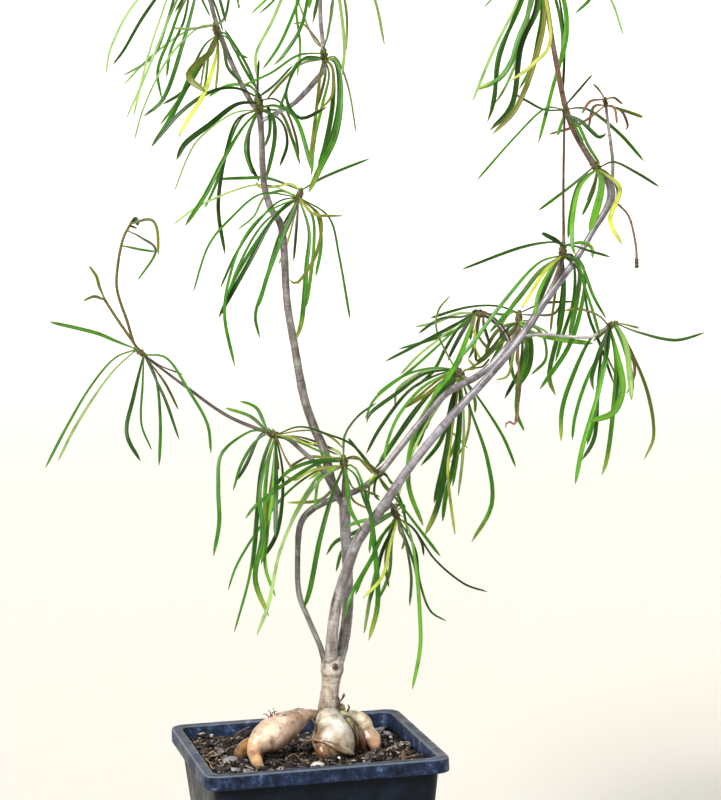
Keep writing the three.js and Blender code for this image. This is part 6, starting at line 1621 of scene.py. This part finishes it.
for i in range(FIBRES):
    heading = scatter.uniform(0, 2 * math.pi)
    bend = scatter.uniform(-0.5, 0.5)
    place = soil_spot(0.6)[:2]
    ends = []
    for j in range(FIBRE_BENDS):
        x, y = np.clip(place, -soil_half + 0.6, soil_half - 0.6)
        lift = scatter.uniform(0.2, 0.9)
        ends.append(np.array((x, y, crumbled(x, y) + lift)))
        place = place + np.array((math.cos(heading), math.sin(heading))) * scatter.uniform(0.8, 2.4)
        heading += bend + scatter.uniform(-0.3, 0.3)
    if all(free_of_roots(end, 0.2) for end in ends):
        path = spaced(ends, 12)[0]
        parts.append(strand(path, np.linspace(0.26, 0.1, 13) * scatter.uniform(0.6, 1.3), 5))
scattered("plant_fibres", parts, straw, "dead_wood", smooth=True)


def pebble(name, across, up, wide, tall, code):
    """A water-worn stone, half sunk."""
    bpy.ops.mesh.primitive_ico_sphere_add(subdivisions=4, radius=1)
    made = bpy.context.object
    middle = spot(across, up, soil_depth(across, up))
    places = []
    for vertex in made.data.vertices:
        swell = 1 + 0.12 * noise.noise(vertex.co * 1.4 + Vector((across, 0, 0)))
        places.append(np.array(vertex.co) * swell * (wide, 0.8 * wide, tall) + middle)
    faces = [list(face.vertices) for face in made.data.polygons]
    bpy.data.objects.remove(made)
    stone = loose_material(name + " stone", [(0.0, code), (1.0, code)], 0.7, 0.7, 0.12)
    make_piece(name + "_stone", places, faces, [stone], [name], "pebble")


pebble("grey_pebble", -28.4, 87.6, 3.2, 2.4, "8d8e90")
pebble("white_pebble", 4, 85.6, 2.6, 1.3, "d8d2c6")
for name, points, radius in (("tan_rootlet", [[-38.6, 91.4], [-37.4, 92.7], [-35, 91.6], [-31, 88.9]], 0.65),
                             ("tan_stick", [[36, 86], [36.2, 89.6]], 0.9)):
    rows = [[x, z, soil_depth(x, z), radius] for x, z in points]
    path, radii, shares = row_stations(rows, 0.4)
    lumps = [np.array([1 + 0.14 * noise.noise(Vector((math.cos(t), math.sin(t), 0.7 * i)))
                       for t in np.linspace(0, 2 * math.pi, 12, endpoint=False)]) for i in range(len(path))]
    make_piece(name + "_wood", *strand(path, radii, 12, lumps), [straw], [name], "dead_wood")

# Setting: a pale round floor that sweeps up to a low white wall on all sides, a broad soft key light
# from the upper left, a faint one from the right, and the camera where the picture was taken from.
FLAT = 2400
SWEEP = 700
WALL_TOP = 1500
ROUND = 96
paper, tree, shader = new_material("pale backdrop paper", Roughness=0.95)
shader.inputs["Base Color"].default_value = linear("c2c0b9")
shader.inputs["Emission Color"].default_value = linear("fbfaf6")
where = add(tree, "ShaderNodeTexCoord").outputs["Object"]
height = add(tree, "ShaderNodeSeparateXYZ", {"Vector": where}).outputs["Z"]
glow = add(tree, "ShaderNodeMapRange", {"Value": height, "From Max": SWEEP * MM, "To Max": 0.42})
tree.links.new(glow.outputs["Result"], shader.inputs["Emission Strength"])
sweep = [(500, 0), (1400, 0), (FLAT, 0)]
sweep += [(FLAT + SWEEP * math.sin(a), SWEEP - SWEEP * math.cos(a))
          for a in np.linspace(0.1, math.pi / 2, 14)]
sweep += [(FLAT + SWEEP, WALL_TOP)]
turns = np.linspace(0, 2 * math.pi, ROUND, endpoint=False)
places = [(r * math.cos(t) * MM, r * math.sin(t) * MM, z * MM) for r, z in sweep for t in turns]
places.append((0, 0, 0))
faces = between_rings(len(sweep), ROUND)
faces += [[len(places) - 1, (i + 1) % ROUND, i] for i in range(ROUND)]
mesh = bpy.data.meshes.new("backdrop")
mesh.from_pydata(places, [], faces)
mesh.polygons.foreach_set("use_smooth", [True] * len(mesh.polygons))
mesh.materials.append(paper)
backdrop = bpy.data.objects.new("backdrop", mesh)
bpy.context.scene.collection.objects.link(backdrop)


def soft_light(name, aside, up, width, strength, colour):
    """A far soft light, placed by its angles to the side of the camera's line and above the floor."""
    data = bpy.data.lights.new(name, "SUN")
    data.angle, data.energy, data.color = math.radians(width), strength, linear(colour)[:3]
    made = bpy.data.objects.new(name, data)
    away = Matrix.Rotation(math.radians(aside) - PLANE_TURN, 3, "Z") @ Vector((0, -1, 0))
    away.z = math.tan(math.radians(up))
    made.location = away * 2
    made.rotation_euler = away.to_track_quat("Z", "Y").to_euler()
    bpy.context.scene.collection.objects.link(made)


soft_light("key", -32, 38, 20, 6.2, "fffcf8")
soft_light("fill", 50, 30, 35, 0.6, "f2f5ff")
world = bpy.data.worlds.new("studio")
world.use_nodes = True
world.node_tree.nodes["Background"].inputs["Color"].default_value = linear("f4f4f2")
world.node_tree.nodes["Background"].inputs["Strength"].default_value = 0.45
bpy.context.scene.world = world
bpy.context.scene.view_settings.view_transform = "Standard"

# The camera: a 126 mm lens a metre away, tipped down by 5.9 degrees and leaning by 1.7.
LENS = 126
TIP = math.radians(5.9)
LEANING = math.radians(1.7)
lens = bpy.data.cameras.new("camera")
lens.lens, lens.sensor_width, lens.clip_start, lens.clip_end = LENS, 36, 0.05, 50
camera = bpy.data.objects.new("camera", lens)
stand = Matrix.Translation(Vector(spot(EYE_ACROSS, EYE_HEIGHT, -EYE_DISTANCE) * MM))
turned = Matrix.Rotation(-PLANE_TURN, 4, "Z") @ Matrix.Rotation(math.pi / 2 - TIP, 4, "X")
camera.matrix_world = stand @ turned @ Matrix.Rotation(-LEANING, 4, "Z")
bpy.context.scene.collection.objects.link(camera)
bpy.context.scene.camera = camera

bpy.context.view_layer.update()
